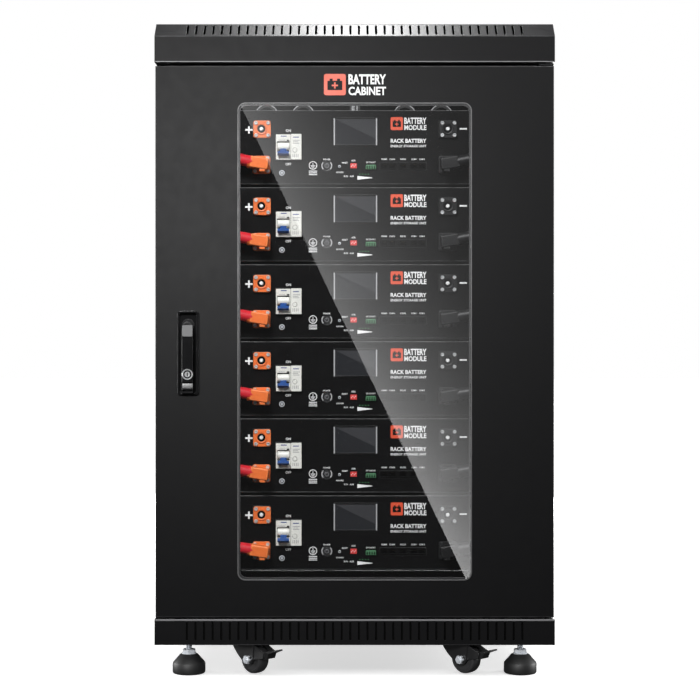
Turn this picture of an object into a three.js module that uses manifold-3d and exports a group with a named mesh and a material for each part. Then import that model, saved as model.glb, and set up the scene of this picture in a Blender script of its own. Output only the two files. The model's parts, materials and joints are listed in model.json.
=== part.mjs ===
// A free-standing 19-inch battery cabinet: six 3U rack batteries behind a glazed door.
// Millimetres, +X right, -Y front, +Z up. The origin is on the floor under the middle of the object.
import * as THREE from 'three';
import { mergeGeometries, mergeVertices } from 'three/addons/utils/BufferGeometryUtils.js';
import Module from 'manifold-3d';

const wasm = await Module();
wasm.setup();

// ---- driving dimensions -------------------------------------------------------------------
const GAP = 0.3; // between pieces that touch
const HALF_WIDTH = 338.5;
const FRONT = -330; // front plane of door, roof and base
const BACK = 350; // rear face
const TOP = 1108;
const SHEET = 2; // folded steel sheet

const BASE_LOW = 53;
const BASE_HIGH = 97;
const BASE_PLATE_LOW = 70;
const BASE_PLATE_HIGH = 73;
const RIM = 24; // inward flange of base and roof

const ROOF_LOW = 1038.5;
const SLOPE_DEPTH = 30;
const SLOPE_HEIGHT = 25;

const SLOT_COUNT = 40;
const SLOT_PITCH = 14.54;
const SLOT_WIDTH = 3.4;

const FRAME_FRONT = -297;
const FRAME_BACK = 340;
const FRAME_HALF = 322;
const FRAME_LOW = BASE_HIGH + GAP;
const FRAME_HIGH = ROOF_LOW - GAP;
const POST_LEG = 32;
const POST_SHEET = 2.5;
const BEAM_HEIGHT = 30;

const CABLE_PLATE_Y = 176;
const CABLE_PLATE_LOW = 985;
const CABLE_HOLE_Z = 1014;
const CABLE_HOLE_RADIUS = 19;
const CABLE_HOLE_X = [-172, -100, 100, 172];

const DOOR_HALF = 337;
const DOOR_LOW = 100;
const DOOR_HIGH = 1032;
const DOOR_DEPTH = 28;
const WINDOW_HALF = 196.5;
const WINDOW_LOW = 164;
const WINDOW_HIGH = 968.5;
const WINDOW_CORNER = 12;
const GLASS_LAP = 8.5;
const GLASS_THICK = 4;
const HINGE_X = 327;
const HINGE_Y = -316;
const HINGE_PIN_RADIUS = 4;

const HANDLE_X = -281;
const HANDLE_LOW = 476;
const HANDLE_HIGH = 618;
const HANDLE_WIDTH = 36;
const HANDLE_DEPTH = 8;
const HANDLE_PIVOT_Z = 594;
const LEVER_FACE = -350;
const LEVER_WIDTH = 18.6;
const LEVER_LOW = 479;
const LEVER_HIGH = 600;
const LOCK_Z = 511;
const LOCK_RADIUS = 7.8;

const BATTERY_COUNT = 6;
const RACK_UNIT = 44.45;
const BATTERY_PITCH = 3 * RACK_UNIT;
const BATTERY_HEIGHT = 128;
const STACK_TOP = 966.8;
const FACE_Y = -256; // front plane of the battery faces
const FACE_THICK = 3;
const FACE_HALF = 241.3; // 19-inch panel
const CASE_HALF = 221;
const CASE_DEPTH = 420;
const POLE_X = 161; // sockets and plugs, left +, right -
const SOCKET_DROP = 32.7; // distances down from a battery's top edge
const PLUG_DROP = 94.7;
const BREAKER_X = -114.5;
const BREAKER_SIZE = 45;
const BREAKER_DROP = 63.3;
const BREAKER_PROUD = 6;
const TOGGLE_X = -123;
const TOGGLE_WIDTH = 20;
const TOGGLE_AXIS_Y = -258;
const TOGGLE_DOWN = 48; // degrees below level when off
const BUTTON_X = -48;
const BUTTON_DROP = 96;
const BUTTON_RADIUS = 6.5;
const PORT_BAY_X = 83;
const PORT_BAY_WIDTH = 78;
const PORT_BAY_DROP = 97;

const RAIL_INNER = 224.5;
const RAIL_OUTER = 250;
const RAIL_BACK = 172;
const BAR_X = 300; // inner face of a busbar
const BAR_FRONT = -222;
const BAR_BACK = -186;
const CABLE_RADIUS = 9;

const FOOT_X = 283;
const FOOT_FRONT_Y = -295;
const FOOT_BACK_Y = 315;
const STUD_RADIUS = 5;
const CASTER_X = 180;
const CASTER_FRONT_Y = -291;
const CASTER_BACK_Y = 314;
const CASTER_YAW = { front_left: 46, front_right: 50, rear_left: 75, rear_right: -60 };
const TRAIL = 14;
const WHEEL_RADIUS = 25;
const WHEEL_Z = 26;
const KINGPIN_RADIUS = 5;
const BRAKE_PIVOT = { y: -46, z: 36 };

const STEEL = { color: 0x17181a, roughness: 0.55, metalness: 0.3 };
const CASE_STEEL = { color: 0x141416, roughness: 0.6, metalness: 0.3 };
const ZINC = { color: 0xb9bec2, roughness: 0.3, metalness: 0.9 };
const BLACK_PLASTIC = { color: 0x0d0d0e, roughness: 0.45, metalness: 0 };
const RUBBER = { color: 0x121212, roughness: 0.85, metalness: 0 };
const GLASS = { color: 0x2a2d30, roughness: 0.05, metalness: 0 };
const COPPER = { color: 0xb87333, roughness: 0.35, metalness: 0.9 };
const ORANGE = { color: 0xe2692c, roughness: 0.5, metalness: 0 };
const BLUE = { color: 0x2450a0, roughness: 0.4, metalness: 0 };

// ---- shapes -------------------------------------------------------------------------------
const X = new THREE.Vector3(1, 0, 0);
const Y = new THREE.Vector3(0, 1, 0);
const Z = new THREE.Vector3(0, 0, 1);

function box(x0, x1, y0, y1, z0, z1) {
  const geometry = new THREE.BoxGeometry(x1 - x0, y1 - y0, z1 - z0);
  return geometry.translate((x0 + x1) / 2, (y0 + y1) / 2, (z0 + z1) / 2);
}

// A cylinder along an axis, from one coordinate to the next; centre is on the other two axes.
function rod(axis, radius, from, to, centre, sides = 24) {
  const geometry = new THREE.CylinderGeometry(radius, radius, to - from, sides);
  geometry.translate(0, (from + to) / 2, 0);
  if (axis === X) return geometry.rotateZ(-Math.PI / 2).translate(0, centre[0], centre[1]);
  if (axis === Y) return geometry.translate(centre[0], 0, centre[1]);
  return geometry.rotateX(Math.PI / 2).translate(centre[0], centre[1], 0);
}

function extrude(shape, depth, u, v, w) {
  const geometry = new THREE.ExtrudeGeometry(shape, { depth, bevelEnabled: false, curveSegments: 3 });
  return geometry.applyMatrix4(new THREE.Matrix4().makeBasis(u, v, w));
}

const pointShape = (points) => new THREE.Shape(points.map(([a, b]) => new THREE.Vector2(a, b)));

// An outline in (y, z), extruded from x0 to x1.
const alongX = (points, x0, x1) => extrude(pointShape(points), x1 - x0, Y, Z, X).translate(x0, 0, 0);

// An outline in (x, y), extruded from z0 to z1.
const alongZ = (points, z0, z1) => extrude(pointShape(points), z1 - z0, X, Y, Z).translate(0, 0, z0);

// A rounded rectangle in (x, z), extruded from y0 back to y1.
function roundedPlate(x0, x1, z0, z1, radius, y0, y1) {
  const shape = new THREE.Shape();
  shape.moveTo(x0 + radius, z0);
  shape.lineTo(x1 - radius, z0);
  shape.absarc(x1 - radius, z0 + radius, radius, -Math.PI / 2, 0, false);
  shape.lineTo(x1, z1 - radius);
  shape.absarc(x1 - radius, z1 - radius, radius, 0, Math.PI / 2, false);
  shape.lineTo(x0 + radius, z1);
  shape.absarc(x0 + radius, z1 - radius, radius, Math.PI / 2, Math.PI, false);
  shape.lineTo(x0, z0 + radius);
  shape.absarc(x0 + radius, z0 + radius, radius, Math.PI, 1.5 * Math.PI, false);
  return extrude(shape, y1 - y0, X, Z, Y.clone().negate()).translate(0, y1, 0);
}

// A profile of (radius, height) points turned about Z.
function turned(points, segments) {
  const profile = points.map(([r, h]) => new THREE.Vector2(r, h));
  return new THREE.LatheGeometry(profile, segments).rotateX(Math.PI / 2);
}

// A round tube along a smooth curve through the points.
function tube(points, radius, steps, sides) {
  const section = new THREE.Shape();
  section.absarc(0, 0, radius, 0, 2 * Math.PI, false);
  const route = new THREE.CatmullRomCurve3(points.map((p) => new THREE.Vector3(...p)));
  return new THREE.ExtrudeGeometry(section, { steps, curveSegments: sides, extrudePath: route });
}

function solid(geometry) {
  const bare = geometry.clone();
  bare.deleteAttribute('normal');
  bare.deleteAttribute('uv');
  const merged = mergeVertices(bare, 1e-4);
  const vertProperties = new Float32Array(merged.attributes.position.array);
  const triVerts = new Uint32Array(merged.index.array);
  return new wasm.Manifold(new wasm.Mesh({ numProp: 3, vertProperties, triVerts }));
}

// Joins and cuts end with asOriginal, which drops the seams between faces in one plane.
function join(...geometries) {
  return geometries.map(solid).reduce((whole, piece) => whole.add(piece)).asOriginal();
}

function cut(body, ...geometries) {
  return geometries.map(solid).reduce((rest, piece) => rest.subtract(piece).asOriginal(), body);
}

function surface(body) {
  const { vertProperties, triVerts } = body.asOriginal().getMesh();
  const geometry = new THREE.BufferGeometry();
  geometry.setAttribute('position', new THREE.BufferAttribute(vertProperties, 3));
  geometry.setIndex(new THREE.BufferAttribute(triVerts, 1));
  geometry.computeVertexNormals();
  return geometry;
}

const object = new THREE.Group();

function add(name, geometry, finish, parent = object) {
  const mesh = new THREE.Mesh(geometry, new THREE.MeshStandardMaterial(finish));
  mesh.name = name;
  parent.add(mesh);
  return mesh;
}

const radians = THREE.MathUtils.degToRad;
const SIDES = [['left', -1], ['right', 1]];
const span = (sign, near, far) => (sign < 0 ? [-far, -near] : [near, far]);

// One row of upright vent slots with pointed ends, from y0 back to y1.
function slotRow(length, y0, y1) {
  const half = SLOT_WIDTH / 2;
  const end = length / 2;
  const outline = [
    [-half, half - end], [0, -end], [half, half - end], [half, end - half], [0, end], [-half, end - half],
  ];
  const first = -((SLOT_COUNT - 1) * SLOT_PITCH) / 2;
  const slots = [];
  for (let i = 0; i < SLOT_COUNT; i += 1) {
    const slot = extrude(pointShape(outline), y1 - y0, X, Z, Y.clone().negate());
    slots.push(slot.translate(first + i * SLOT_PITCH, y1, 0));
  }
  return mergeGeometries(slots);
}

// ---- cabinet ------------------------------------------------------------------------------
function baseFrame() {
  const inner = HALF_WIDTH - SHEET;
  const y0 = FRONT + SHEET;
  const y1 = BACK - SHEET;
  const studHole = STUD_RADIUS + 0.6;
  const pinHole = KINGPIN_RADIUS + 0.6;
  const slotLength = 32;
  const slotMiddle = 76.5;
  const frontGap = 6; // keeps the floor plate clear of the vent slots
  const floorPlate = box(-inner - 1, inner + 1, y0 + frontGap, y1 + 1, BASE_PLATE_LOW, BASE_PLATE_HIGH);
  const additions = [floorPlate];
  const holes = [];
  for (const x of [-CASTER_X, CASTER_X]) {
    for (const y of [CASTER_FRONT_Y, CASTER_BACK_Y]) {
      additions.push(box(x - 30, x + 30, y - 30, y + 30, BASE_PLATE_LOW - 4, BASE_PLATE_LOW + 1));
      holes.push(rod(Z, pinHole, 60, 80, [x, y], 12));
    }
  }
  for (const x of [-FOOT_X, FOOT_X]) {
    for (const y of [FOOT_FRONT_Y, FOOT_BACK_Y]) {
      holes.push(rod(Z, studHole, 60, 80, [x, y], 12));
    }
  }
  const shell = cut(
    join(box(-HALF_WIDTH, HALF_WIDTH, FRONT, BACK, BASE_LOW, BASE_HIGH)),
    box(-inner, inner, y0, y1, BASE_LOW - 1, BASE_HIGH - SHEET),
    box(-HALF_WIDTH + RIM, HALF_WIDTH - RIM, FRONT + RIM, BACK - RIM, BASE_PLATE_HIGH, BASE_HIGH + 1),
    slotRow(slotLength, FRONT - 1, y0 + 1).translate(0, 0, slotMiddle),
  );
  const cableEntries = [-1, 1].map((side) => {
    const [x0, x1] = span(side, 60, 220);
    return box(x0, x1, 200, 270, 60, 80);
  });
  const hingeHole = rod(Z, HINGE_PIN_RADIUS + 0.5, BASE_PLATE_HIGH + 1, BASE_HIGH + 1, [HINGE_X, HINGE_Y]);
  const whole = additions.map(solid).reduce((body, piece) => body.add(piece), shell);
  return surface(cut(whole, ...holes, ...cableEntries, hingeHole));
}

function roofCover() {
  const slopeTop = FRONT + SLOPE_DEPTH;
  const outer = [
    [FRONT, ROOF_LOW],
    [BACK, ROOF_LOW],
    [BACK, TOP],
    [slopeTop, TOP],
    [FRONT, TOP - SLOPE_HEIGHT],
  ];
  const inner = [
    [FRONT + SHEET, ROOF_LOW + SHEET],
    [BACK - SHEET, ROOF_LOW + SHEET],
    [BACK - SHEET, TOP - SHEET],
    [slopeTop + SHEET / 2, TOP - SHEET],
    [FRONT + SHEET, TOP - SLOPE_HEIGHT - SHEET / 2],
  ];
  const slopeLength = Math.hypot(SLOPE_DEPTH, SLOPE_HEIGHT);
  const lean = Math.atan2(SLOPE_DEPTH, SLOPE_HEIGHT);
  const slots = slotRow(0.8 * slopeLength, -5, 5).rotateX(-lean);
  slots.translate(0, FRONT + SLOPE_DEPTH / 2, TOP - SLOPE_HEIGHT / 2);
  const open = [-HALF_WIDTH + RIM, HALF_WIDTH - RIM, FRONT + RIM, BACK - RIM];
  return surface(
    cut(
      join(alongX(outer, -HALF_WIDTH, HALF_WIDTH)),
      alongX(inner, -HALF_WIDTH + SHEET, HALF_WIDTH - SHEET),
      box(...open, ROOF_LOW - 1, ROOF_LOW + SHEET + 1),
      slots,
    ),
  );
}

// The outline of an L-shaped post whose outer corner is at (x, y) and whose legs run inwards.
function postOutline(x, y) {
  const inX = -Math.sign(x);
  const inY = y < 0 ? 1 : -1;
  const points = [
    [x, y],
    [x + inX * POST_LEG, y],
    [x + inX * POST_LEG, y + inY * POST_SHEET],
    [x + inX * POST_SHEET, y + inY * POST_SHEET],
    [x + inX * POST_SHEET, y + inY * POST_LEG],
    [x, y + inY * POST_LEG],
  ];
  return inX * inY > 0 ? points : points.reverse();
}

function cabinetFrame() {
  const pieces = [];
  const inner = FRAME_HALF - POST_SHEET;
  for (const x of [-FRAME_HALF, FRAME_HALF]) {
    for (const y of [FRAME_FRONT, FRAME_BACK]) {
      pieces.push(alongZ(postOutline(x, y), FRAME_LOW, FRAME_HIGH));
    }
  }
  for (const z0 of [FRAME_LOW, FRAME_HIGH - BEAM_HEIGHT]) {
    const ring = cut(
      join(box(-FRAME_HALF, FRAME_HALF, FRAME_FRONT, FRAME_BACK, z0, z0 + BEAM_HEIGHT)),
      box(-inner, inner, FRAME_FRONT + POST_SHEET, FRAME_BACK - POST_SHEET, z0 - 1, z0 + BEAM_HEIGHT + 1),
    );
    pieces.push(surface(ring));
  }
  for (const [, side] of SIDES) {
    const [x0, x1] = span(side, inner, FRAME_HALF);
    pieces.push(box(x0, x1, BAR_FRONT - 8, BAR_BACK + 8, FRAME_LOW + 1, FRAME_HIGH - 1));
  }
  const plateEnd = inner + 1;
  pieces.push(box(-plateEnd, plateEnd, CABLE_PLATE_Y, CABLE_PLATE_Y + SHEET, CABLE_PLATE_LOW, FRAME_HIGH - 1));
  const hingeEar = [
    [FRAME_HALF, FRAME_FRONT + POST_SHEET],
    [HINGE_X - 15, FRAME_FRONT + POST_SHEET],
    [HINGE_X - 15, HINGE_Y - 10],
    [HINGE_X + 10, HINGE_Y - 10],
    [HINGE_X + 10, FRAME_FRONT - SHEET],
    [FRAME_HALF, FRAME_FRONT - SHEET],
  ];
  pieces.push(alongZ(hingeEar, DOOR_HIGH + 1.5, DOOR_HIGH + 4.5));
  const cableHoles = CABLE_HOLE_X.map((x) =>
    rod(Y, CABLE_HOLE_RADIUS, CABLE_PLATE_Y - 5, CABLE_PLATE_Y + 5, [x, CABLE_HOLE_Z]),
  );
  const hingeHole = rod(Z, HINGE_PIN_RADIUS + 0.5, DOOR_HIGH, DOOR_HIGH + 6, [HINGE_X, HINGE_Y]);
  return surface(cut(join(...pieces), ...cableHoles, hingeHole));
}

// A flat sheet with its four edges folded inwards; side is -1 on the left and 1 on the right.
function sidePanel(side) {
  const skin = HALF_WIDTH - 1.5;
  const fold = 14;
  const y0 = FRAME_FRONT + 1;
  const y1 = FRAME_BACK - 2;
  const z0 = BASE_HIGH + 1;
  const z1 = ROOF_LOW - 1;
  const [outer0, outer1] = span(side, skin - fold, HALF_WIDTH);
  const [hollow0, hollow1] = span(side, skin - fold - 1, skin);
  return surface(
    cut(
      join(box(outer0, outer1, y0, y1, z0, z1)),
      box(hollow0, hollow1, y0 + SHEET, y1 - SHEET, z0 + SHEET, z1 - SHEET),
    ),
  );
}

function rearPanel() {
  const half = HALF_WIDTH - 2.5;
  const z0 = BASE_HIGH + 1;
  const z1 = ROOF_LOW - 1;
  const y0 = FRAME_BACK + GAP;
  const louvres = [];
  for (const x of [-120, 120]) {
    for (const middle of [230, 900]) {
      for (let row = 0; row < 6; row += 1) {
        const z = middle + (row - 2.5) * 14;
        louvres.push(box(x - 75, x + 75, BACK - 5, BACK + 5, z - 2, z + 2));
      }
    }
  }
  return surface(
    cut(
      join(box(-half, half, y0, BACK, z0, z1)),
      box(-half + SHEET, half - SHEET, y0 - 1, BACK - 1.5, z0 + SHEET, z1 - SHEET),
      mergeGeometries(louvres),
    ),
  );
}

// Front and rear uprights of one side, joined by a ledge under each battery and by end brackets.
function rackRail(side) {
  const pieces = [];
  const z0 = FRAME_LOW + 8;
  const z1 = FRAME_HIGH - 8;
  const faceBack = FACE_Y + FACE_THICK + GAP;
  const [flange0, flange1] = span(side, RAIL_INNER, RAIL_OUTER);
  const [web0, web1] = span(side, RAIL_OUTER - SHEET, RAIL_OUTER);
  pieces.push(box(flange0, flange1, faceBack, faceBack + SHEET, z0, z1));
  pieces.push(box(web0, web1, faceBack, faceBack + 38, z0, z1));
  pieces.push(box(flange0, flange1, RAIL_BACK - SHEET, RAIL_BACK, z0, z1));
  pieces.push(box(web0, web1, RAIL_BACK - 38, RAIL_BACK, z0, z1));
  const [ledge0, ledge1] = span(side, 206, RAIL_OUTER);
  for (let i = 0; i < BATTERY_COUNT; i += 1) {
    const under = STACK_TOP - i * BATTERY_PITCH - BATTERY_HEIGHT - GAP;
    pieces.push(box(ledge0, ledge1, faceBack + 1, RAIL_BACK - 1, under - 3, under));
  }
  const [bracket0, bracket1] = span(side, RAIL_OUTER - 1, FRAME_HALF - POST_SHEET - GAP);
  for (const z of [z0, z1 - 3]) {
    pieces.push(box(bracket0, bracket1, faceBack, faceBack + 38, z, z + 3));
    pieces.push(box(bracket0, bracket1, RAIL_BACK - 38, RAIL_BACK, z, z + 3));
  }
  return surface(join(...pieces));
}

// A copper bar on three stand-off posts that reach the frame's side strip.
function busbar(side) {
  const [bar0, bar1] = span(side, BAR_X, BAR_X + 6);
  const [post0, post1] = span(side, BAR_X + 5, FRAME_HALF - POST_SHEET - GAP);
  const middle = (BAR_FRONT + BAR_BACK) / 2;
  const posts = [235, 500, 800].map((z) => rod(X, 11, post0, post1, [middle, z], 16));
  return surface(join(box(bar0, bar1, BAR_FRONT, BAR_BACK, 185, 905), ...posts));
}

// ---- door and swing handle ------------------------------------------------------------------
function doorPanel() {
  const skinBack = FRONT + SHEET;
  const pinTop = rod(Z, HINGE_PIN_RADIUS, DOOR_HIGH - 1, DOOR_HIGH + 5.3, [HINGE_X, HINGE_Y]);
  const pinLow = rod(Z, HINGE_PIN_RADIUS, DOOR_LOW - 6, DOOR_LOW + 1, [HINGE_X, HINGE_Y]);
  const inner = DOOR_HALF - SHEET;
  const pan = cut(
    join(box(-DOOR_HALF, DOOR_HALF, FRONT, FRONT + DOOR_DEPTH, DOOR_LOW, DOOR_HIGH)),
    box(-inner, inner, skinBack, FRONT + DOOR_DEPTH + 1, DOOR_LOW + SHEET, DOOR_HIGH - SHEET),
    roundedPlate(-WINDOW_HALF, WINDOW_HALF, WINDOW_LOW, WINDOW_HIGH, WINDOW_CORNER, FRONT - 5, FRONT + 5),
    rod(Y, 6, FRONT - 5, FRONT + 5, [HANDLE_X, HANDLE_PIVOT_Z], 16),
  );
  return surface(pan.add(solid(pinTop)).add(solid(pinLow)));
}

function doorGlass() {
  const half = WINDOW_HALF + GLASS_LAP;
  const front = FRONT + SHEET + GAP;
  const low = WINDOW_LOW - GLASS_LAP;
  const high = WINDOW_HIGH + GLASS_LAP;
  return surface(join(roundedPlate(-half, half, low, high, 6, front, front + GLASS_THICK)));
}

const HOUSING_BACK = FRONT - GAP;
const HOUSING_FACE = HOUSING_BACK - HANDLE_DEPTH;
const POCKET_FLOOR = HOUSING_FACE + 5;
const LIFT_Y = LEVER_FACE + 8.5; // cross pin on which the lever lifts

function handleHousing() {
  const half = HANDLE_WIDTH / 2;
  const wall = 3.5;
  const x0 = HANDLE_X - half;
  const x1 = HANDLE_X + half;
  const pocket = [x0 + wall, x1 - wall, HANDLE_LOW + wall, HANDLE_HIGH - wall, 4];
  return surface(
    cut(
      join(roundedPlate(x0, x1, HANDLE_LOW, HANDLE_HIGH, 5, HOUSING_FACE, HOUSING_BACK)),
      roundedPlate(...pocket, HOUSING_FACE - 1, POCKET_FLOOR),
      rod(Y, 5.8, POCKET_FLOOR - 1, HOUSING_BACK + 1, [HANDLE_X, HANDLE_PIVOT_Z]),
    ),
  );
}

// Swivel head, its shaft through the door, the latch cam behind the door, and the cross pin.
function handleRotor() {
  const at = [HANDLE_X, HANDLE_PIVOT_Z];
  const head = POCKET_FLOOR - GAP;
  const lug = [HANDLE_X - 4, HANDLE_X + 4];
  return surface(
    join(
      rod(Y, 10.5, head - 3, head, at),
      rod(Y, 5, head - 1, FRONT + 17, at),
      box(HANDLE_X - 40, HANDLE_X + 8, FRONT + 11, FRONT + 15, HANDLE_PIVOT_Z - 8, HANDLE_PIVOT_Z + 8),
      box(...lug, LIFT_Y, head - 2, HANDLE_PIVOT_Z - 2.2, HANDLE_PIVOT_Z + 2.2),
      rod(X, 2.8, ...lug, [LIFT_Y, HANDLE_PIVOT_Z], 16),
      rod(X, 1.6, HANDLE_X - 7.4, HANDLE_X + 7.4, [LIFT_Y, HANDLE_PIVOT_Z], 12),
    ),
  );
}

// The lever's face slopes back at its top, and two finger grooves cross it below the lock.
function handleLever() {
  const half = LEVER_WIDTH / 2;
  const proud = LEVER_FACE - 1;
  const sides = [HANDLE_X - half - 1, HANDLE_X + half + 1];
  const slopes = [
    [[proud, 572], [proud, LEVER_HIGH + 1], [LEVER_FACE + 4.1, LEVER_HIGH + 1]],
    [[proud, 485.2], [LEVER_FACE + 3.5, 497.5], [proud, 497.5]],
    [[proud, 478.4], [LEVER_FACE + 3.5, 484.2], [proud, 484.2]],
  ];
  const back = HOUSING_FACE - 0.7;
  const outline = new THREE.Shape();
  outline.moveTo(HANDLE_X - half, LEVER_LOW);
  outline.lineTo(HANDLE_X + half, LEVER_LOW);
  outline.lineTo(HANDLE_X + half, LEVER_HIGH - half);
  outline.absarc(HANDLE_X, LEVER_HIGH - half, half, 0, Math.PI, false);
  const blade = extrude(outline, back - LEVER_FACE, X, Z, Y.clone().negate()).translate(0, back, 0);
  return surface(
    cut(
      join(blade),
      box(HANDLE_X - 4.6, HANDLE_X + 4.6, LIFT_Y - 3.5, back + 1, HANDLE_PIVOT_Z - 5.5, LEVER_HIGH + 1),
      rod(X, 2.1, HANDLE_X - 8, HANDLE_X + 8, [LIFT_Y, HANDLE_PIVOT_Z], 12),
      rod(Y, LOCK_RADIUS + 0.5, LEVER_FACE - 1, LEVER_FACE + 8.7, [HANDLE_X, LOCK_Z]),
      ...slopes.map((outline) => alongX(outline, ...sides)),
    ),
  );
}

const lockCylinder = () =>
  surface(
    cut(
      join(rod(Y, LOCK_RADIUS, LEVER_FACE + 0.2, LEVER_FACE + 8.4, [HANDLE_X, LOCK_Z])),
      box(HANDLE_X - 3.5, HANDLE_X + 3.5, LEVER_FACE - 1, LEVER_FACE + 4, LOCK_Z - 0.8, LOCK_Z + 0.8),
    ),
  );

// ---- batteries ------------------------------------------------------------------------------
// Case, front panel, breaker body and free sockets of one battery whose top edge is at z = 0.
function battery() {
  const low = -BATTERY_HEIGHT;
  const faceBack = FACE_Y + FACE_THICK;
  const half = BREAKER_SIZE / 2;
  const bezel = 15;
  const socketFace = FACE_Y - 4;
  const socketFloor = -240;
  const pieces = [
    box(-FACE_HALF, FACE_HALF, FACE_Y, faceBack, low, 0),
    box(-CASE_HALF, CASE_HALF, faceBack - 1, faceBack + CASE_DEPTH, low, 0),
    box(BREAKER_X - half, BREAKER_X + half, FACE_Y - BREAKER_PROUD, faceBack, -BREAKER_DROP - half, half - BREAKER_DROP),
  ];
  const cuts = [];
  const pins = [];
  for (const x of [-POLE_X, POLE_X]) {
    pieces.push(box(x - bezel, x + bezel, socketFace, faceBack, -SOCKET_DROP - bezel, bezel - SOCKET_DROP));
    cuts.push(rod(Y, 5.6, socketFace - 1, socketFloor, [x, -SOCKET_DROP], 12));
    pins.push(rod(Y, 3, socketFloor - 12, socketFloor + 1, [x, -SOCKET_DROP], 8));
  }
  const slot = TOGGLE_WIDTH / 2 + 0.7;
  cuts.push(box(TOGGLE_X - slot, TOGGLE_X + slot, -270, -249, -BREAKER_DROP - 8.5, 8.5 - BREAKER_DROP));
  cuts.push(rod(Y, BUTTON_RADIUS + 0.6, FACE_Y - 1, -246, [BUTTON_X, -BUTTON_DROP], 16));
  const bay = [PORT_BAY_X - PORT_BAY_WIDTH / 2, PORT_BAY_X + PORT_BAY_WIDTH / 2];
  cuts.push(box(...bay, FACE_Y - 1, -244, -PORT_BAY_DROP - 5.5, 5.5 - PORT_BAY_DROP));
  const body = cut(join(...pieces), ...cuts);
  return surface(pins.map(solid).reduce((whole, pin) => whole.add(pin), body));
}

// Barrel, stem and grip, pointing down and forward in the off position.
function breakerToggle() {
  const stem = box(-5.5, 5.5, -15, 0, -2, 2);
  const grip = box(-TOGGLE_WIDTH / 2, TOGGLE_WIDTH / 2, -20, -14, -3, 3);
  const paddle = solid(stem).add(solid(grip));
  const barrel = solid(rod(X, 7, -TOGGLE_WIDTH / 2, TOGGLE_WIDTH / 2, [0, 0], 16));
  return surface(paddle.add(barrel)).rotateX(radians(TOGGLE_DOWN));
}

const powerButton = () => surface(join(rod(Y, BUTTON_RADIUS, -3, 6, [0, 0], 16)));

// Right-angle plug, cable and flat lug; side is -1 for the left, positive lead. z = 0 is the plug's middle.
function lead(side) {
  const route = [
    [174, -277, 3],
    [196, -280, 7],
    [228, -283, 10],
    [257, -278, 11],
    [278, -261, 11],
    [289, -240, 11],
    [290.7, -224, 11],
  ].map(([x, y, z]) => [side * x, y, z]);
  const [flange0, flange1] = span(side, POLE_X - 15, POLE_X + 15);
  const [body0, body1] = span(side, POLE_X - 11, POLE_X + 14);
  const [lug0, lug1] = span(side, BAR_X - GAP - 3.5, BAR_X - GAP);
  return surface(
    join(
      box(flange0, flange1, FACE_Y - GAP - 5, FACE_Y - GAP, -15, 15),
      box(body0, body1, FACE_Y - 35, FACE_Y - 5, -10, 11),
      tube(route, CABLE_RADIUS, 10, 4),
      box(lug0, lug1, BAR_FRONT - 6, BAR_BACK - 6, -1, 23),
    ),
  );
}

// ---- feet and casters -------------------------------------------------------------------------
// Stud, nut and pad of one levelling foot, standing on z = 0.
function levellingFoot() {
  const profile = [[0, 0], [25, 0], [28, 3], [28, 18], [13, 34], [STUD_RADIUS, 34], [STUD_RADIUS, 88], [0, 88]];
  return surface(join(turned(profile, 20), rod(Z, 12.1, 33, 41, [0, 0], 6)));
}

// Crown, two cheeks, kingpin, axle and its nuts. The swivel axis is z and the wheel trails to -Y.
function casterFork() {
  const cheek = [
    [22, 62], [22, 50], [-5, 20], [-14, 16.5], [-22, 20], [-27, 27], [-49, 31], [-51, 40], [-27, 52], [-26, 62],
  ];
  const axle = [-TRAIL, WHEEL_Z];
  return surface(
    join(
      alongX([...cheek].reverse(), 12.5, 15),
      alongX([...cheek].reverse(), -15, -12.5),
      box(-15, 15, -26, 22, 58.5, 62),
      turned([[0, 60], [26, 60], [26, 63], [16, 65.5], [0, 65.5]], 20),
      rod(Z, KINGPIN_RADIUS, 64, 79, [0, 0], 12),
      rod(X, 4, -19, 19, axle, 12),
      rod(X, 7.5, -20, -14, axle, 6),
      rod(X, 7.5, 14, 20, axle, 6),
    ),
  );
}

function casterWheel() {
  const side = 11;
  const profile = [[4.5, -side], [21, -side], [24, -8], [WHEEL_RADIUS, -4], [WHEEL_RADIUS, 4], [24, 8], [21, side]];
  const section = [...profile, [4.5, side], [4.5, -side]];
  return surface(join(turned(section, 22).rotateY(Math.PI / 2)));
}

// Pedal about its own pivot; x is the pivot's direction and the pedal points to -Y.
function brakeLever() {
  const outline = [
    [5, -4], [5, 4], [-3, 5.5], [-8, 6.5], [-25, 11], [-26, 8.5], [-11, 3], [-7, -6], [1, -7],
  ];
  return surface(
    join(
      alongX(outline, -10, 10),
      rod(X, 3, -12.2, 12.2, [0, 0], 12),
    ),
  );
}

// ---- assembly -----------------------------------------------------------------------------------
add('base_frame', baseFrame(), STEEL);
add('cabinet_frame', cabinetFrame(), STEEL);
add('roof_cover', roofCover(), STEEL);
add('rear_panel', rearPanel(), STEEL);
for (const [name, side] of SIDES) {
  add(`${name}_side_panel`, sidePanel(side), STEEL);
  add(`rack_rail_${name}`, rackRail(side), STEEL);
}
add('positive_busbar', busbar(-1), COPPER);
add('negative_busbar', busbar(1), COPPER);

add('door_panel', doorPanel(), STEEL);
add('door_glass', doorGlass(), GLASS);
add('handle_housing', handleHousing(), BLACK_PLASTIC);
add('handle_rotor', handleRotor(), ZINC);
add('handle_lever', handleLever(), BLACK_PLASTIC);
add('lock_cylinder', lockCylinder(), ZINC);

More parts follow.
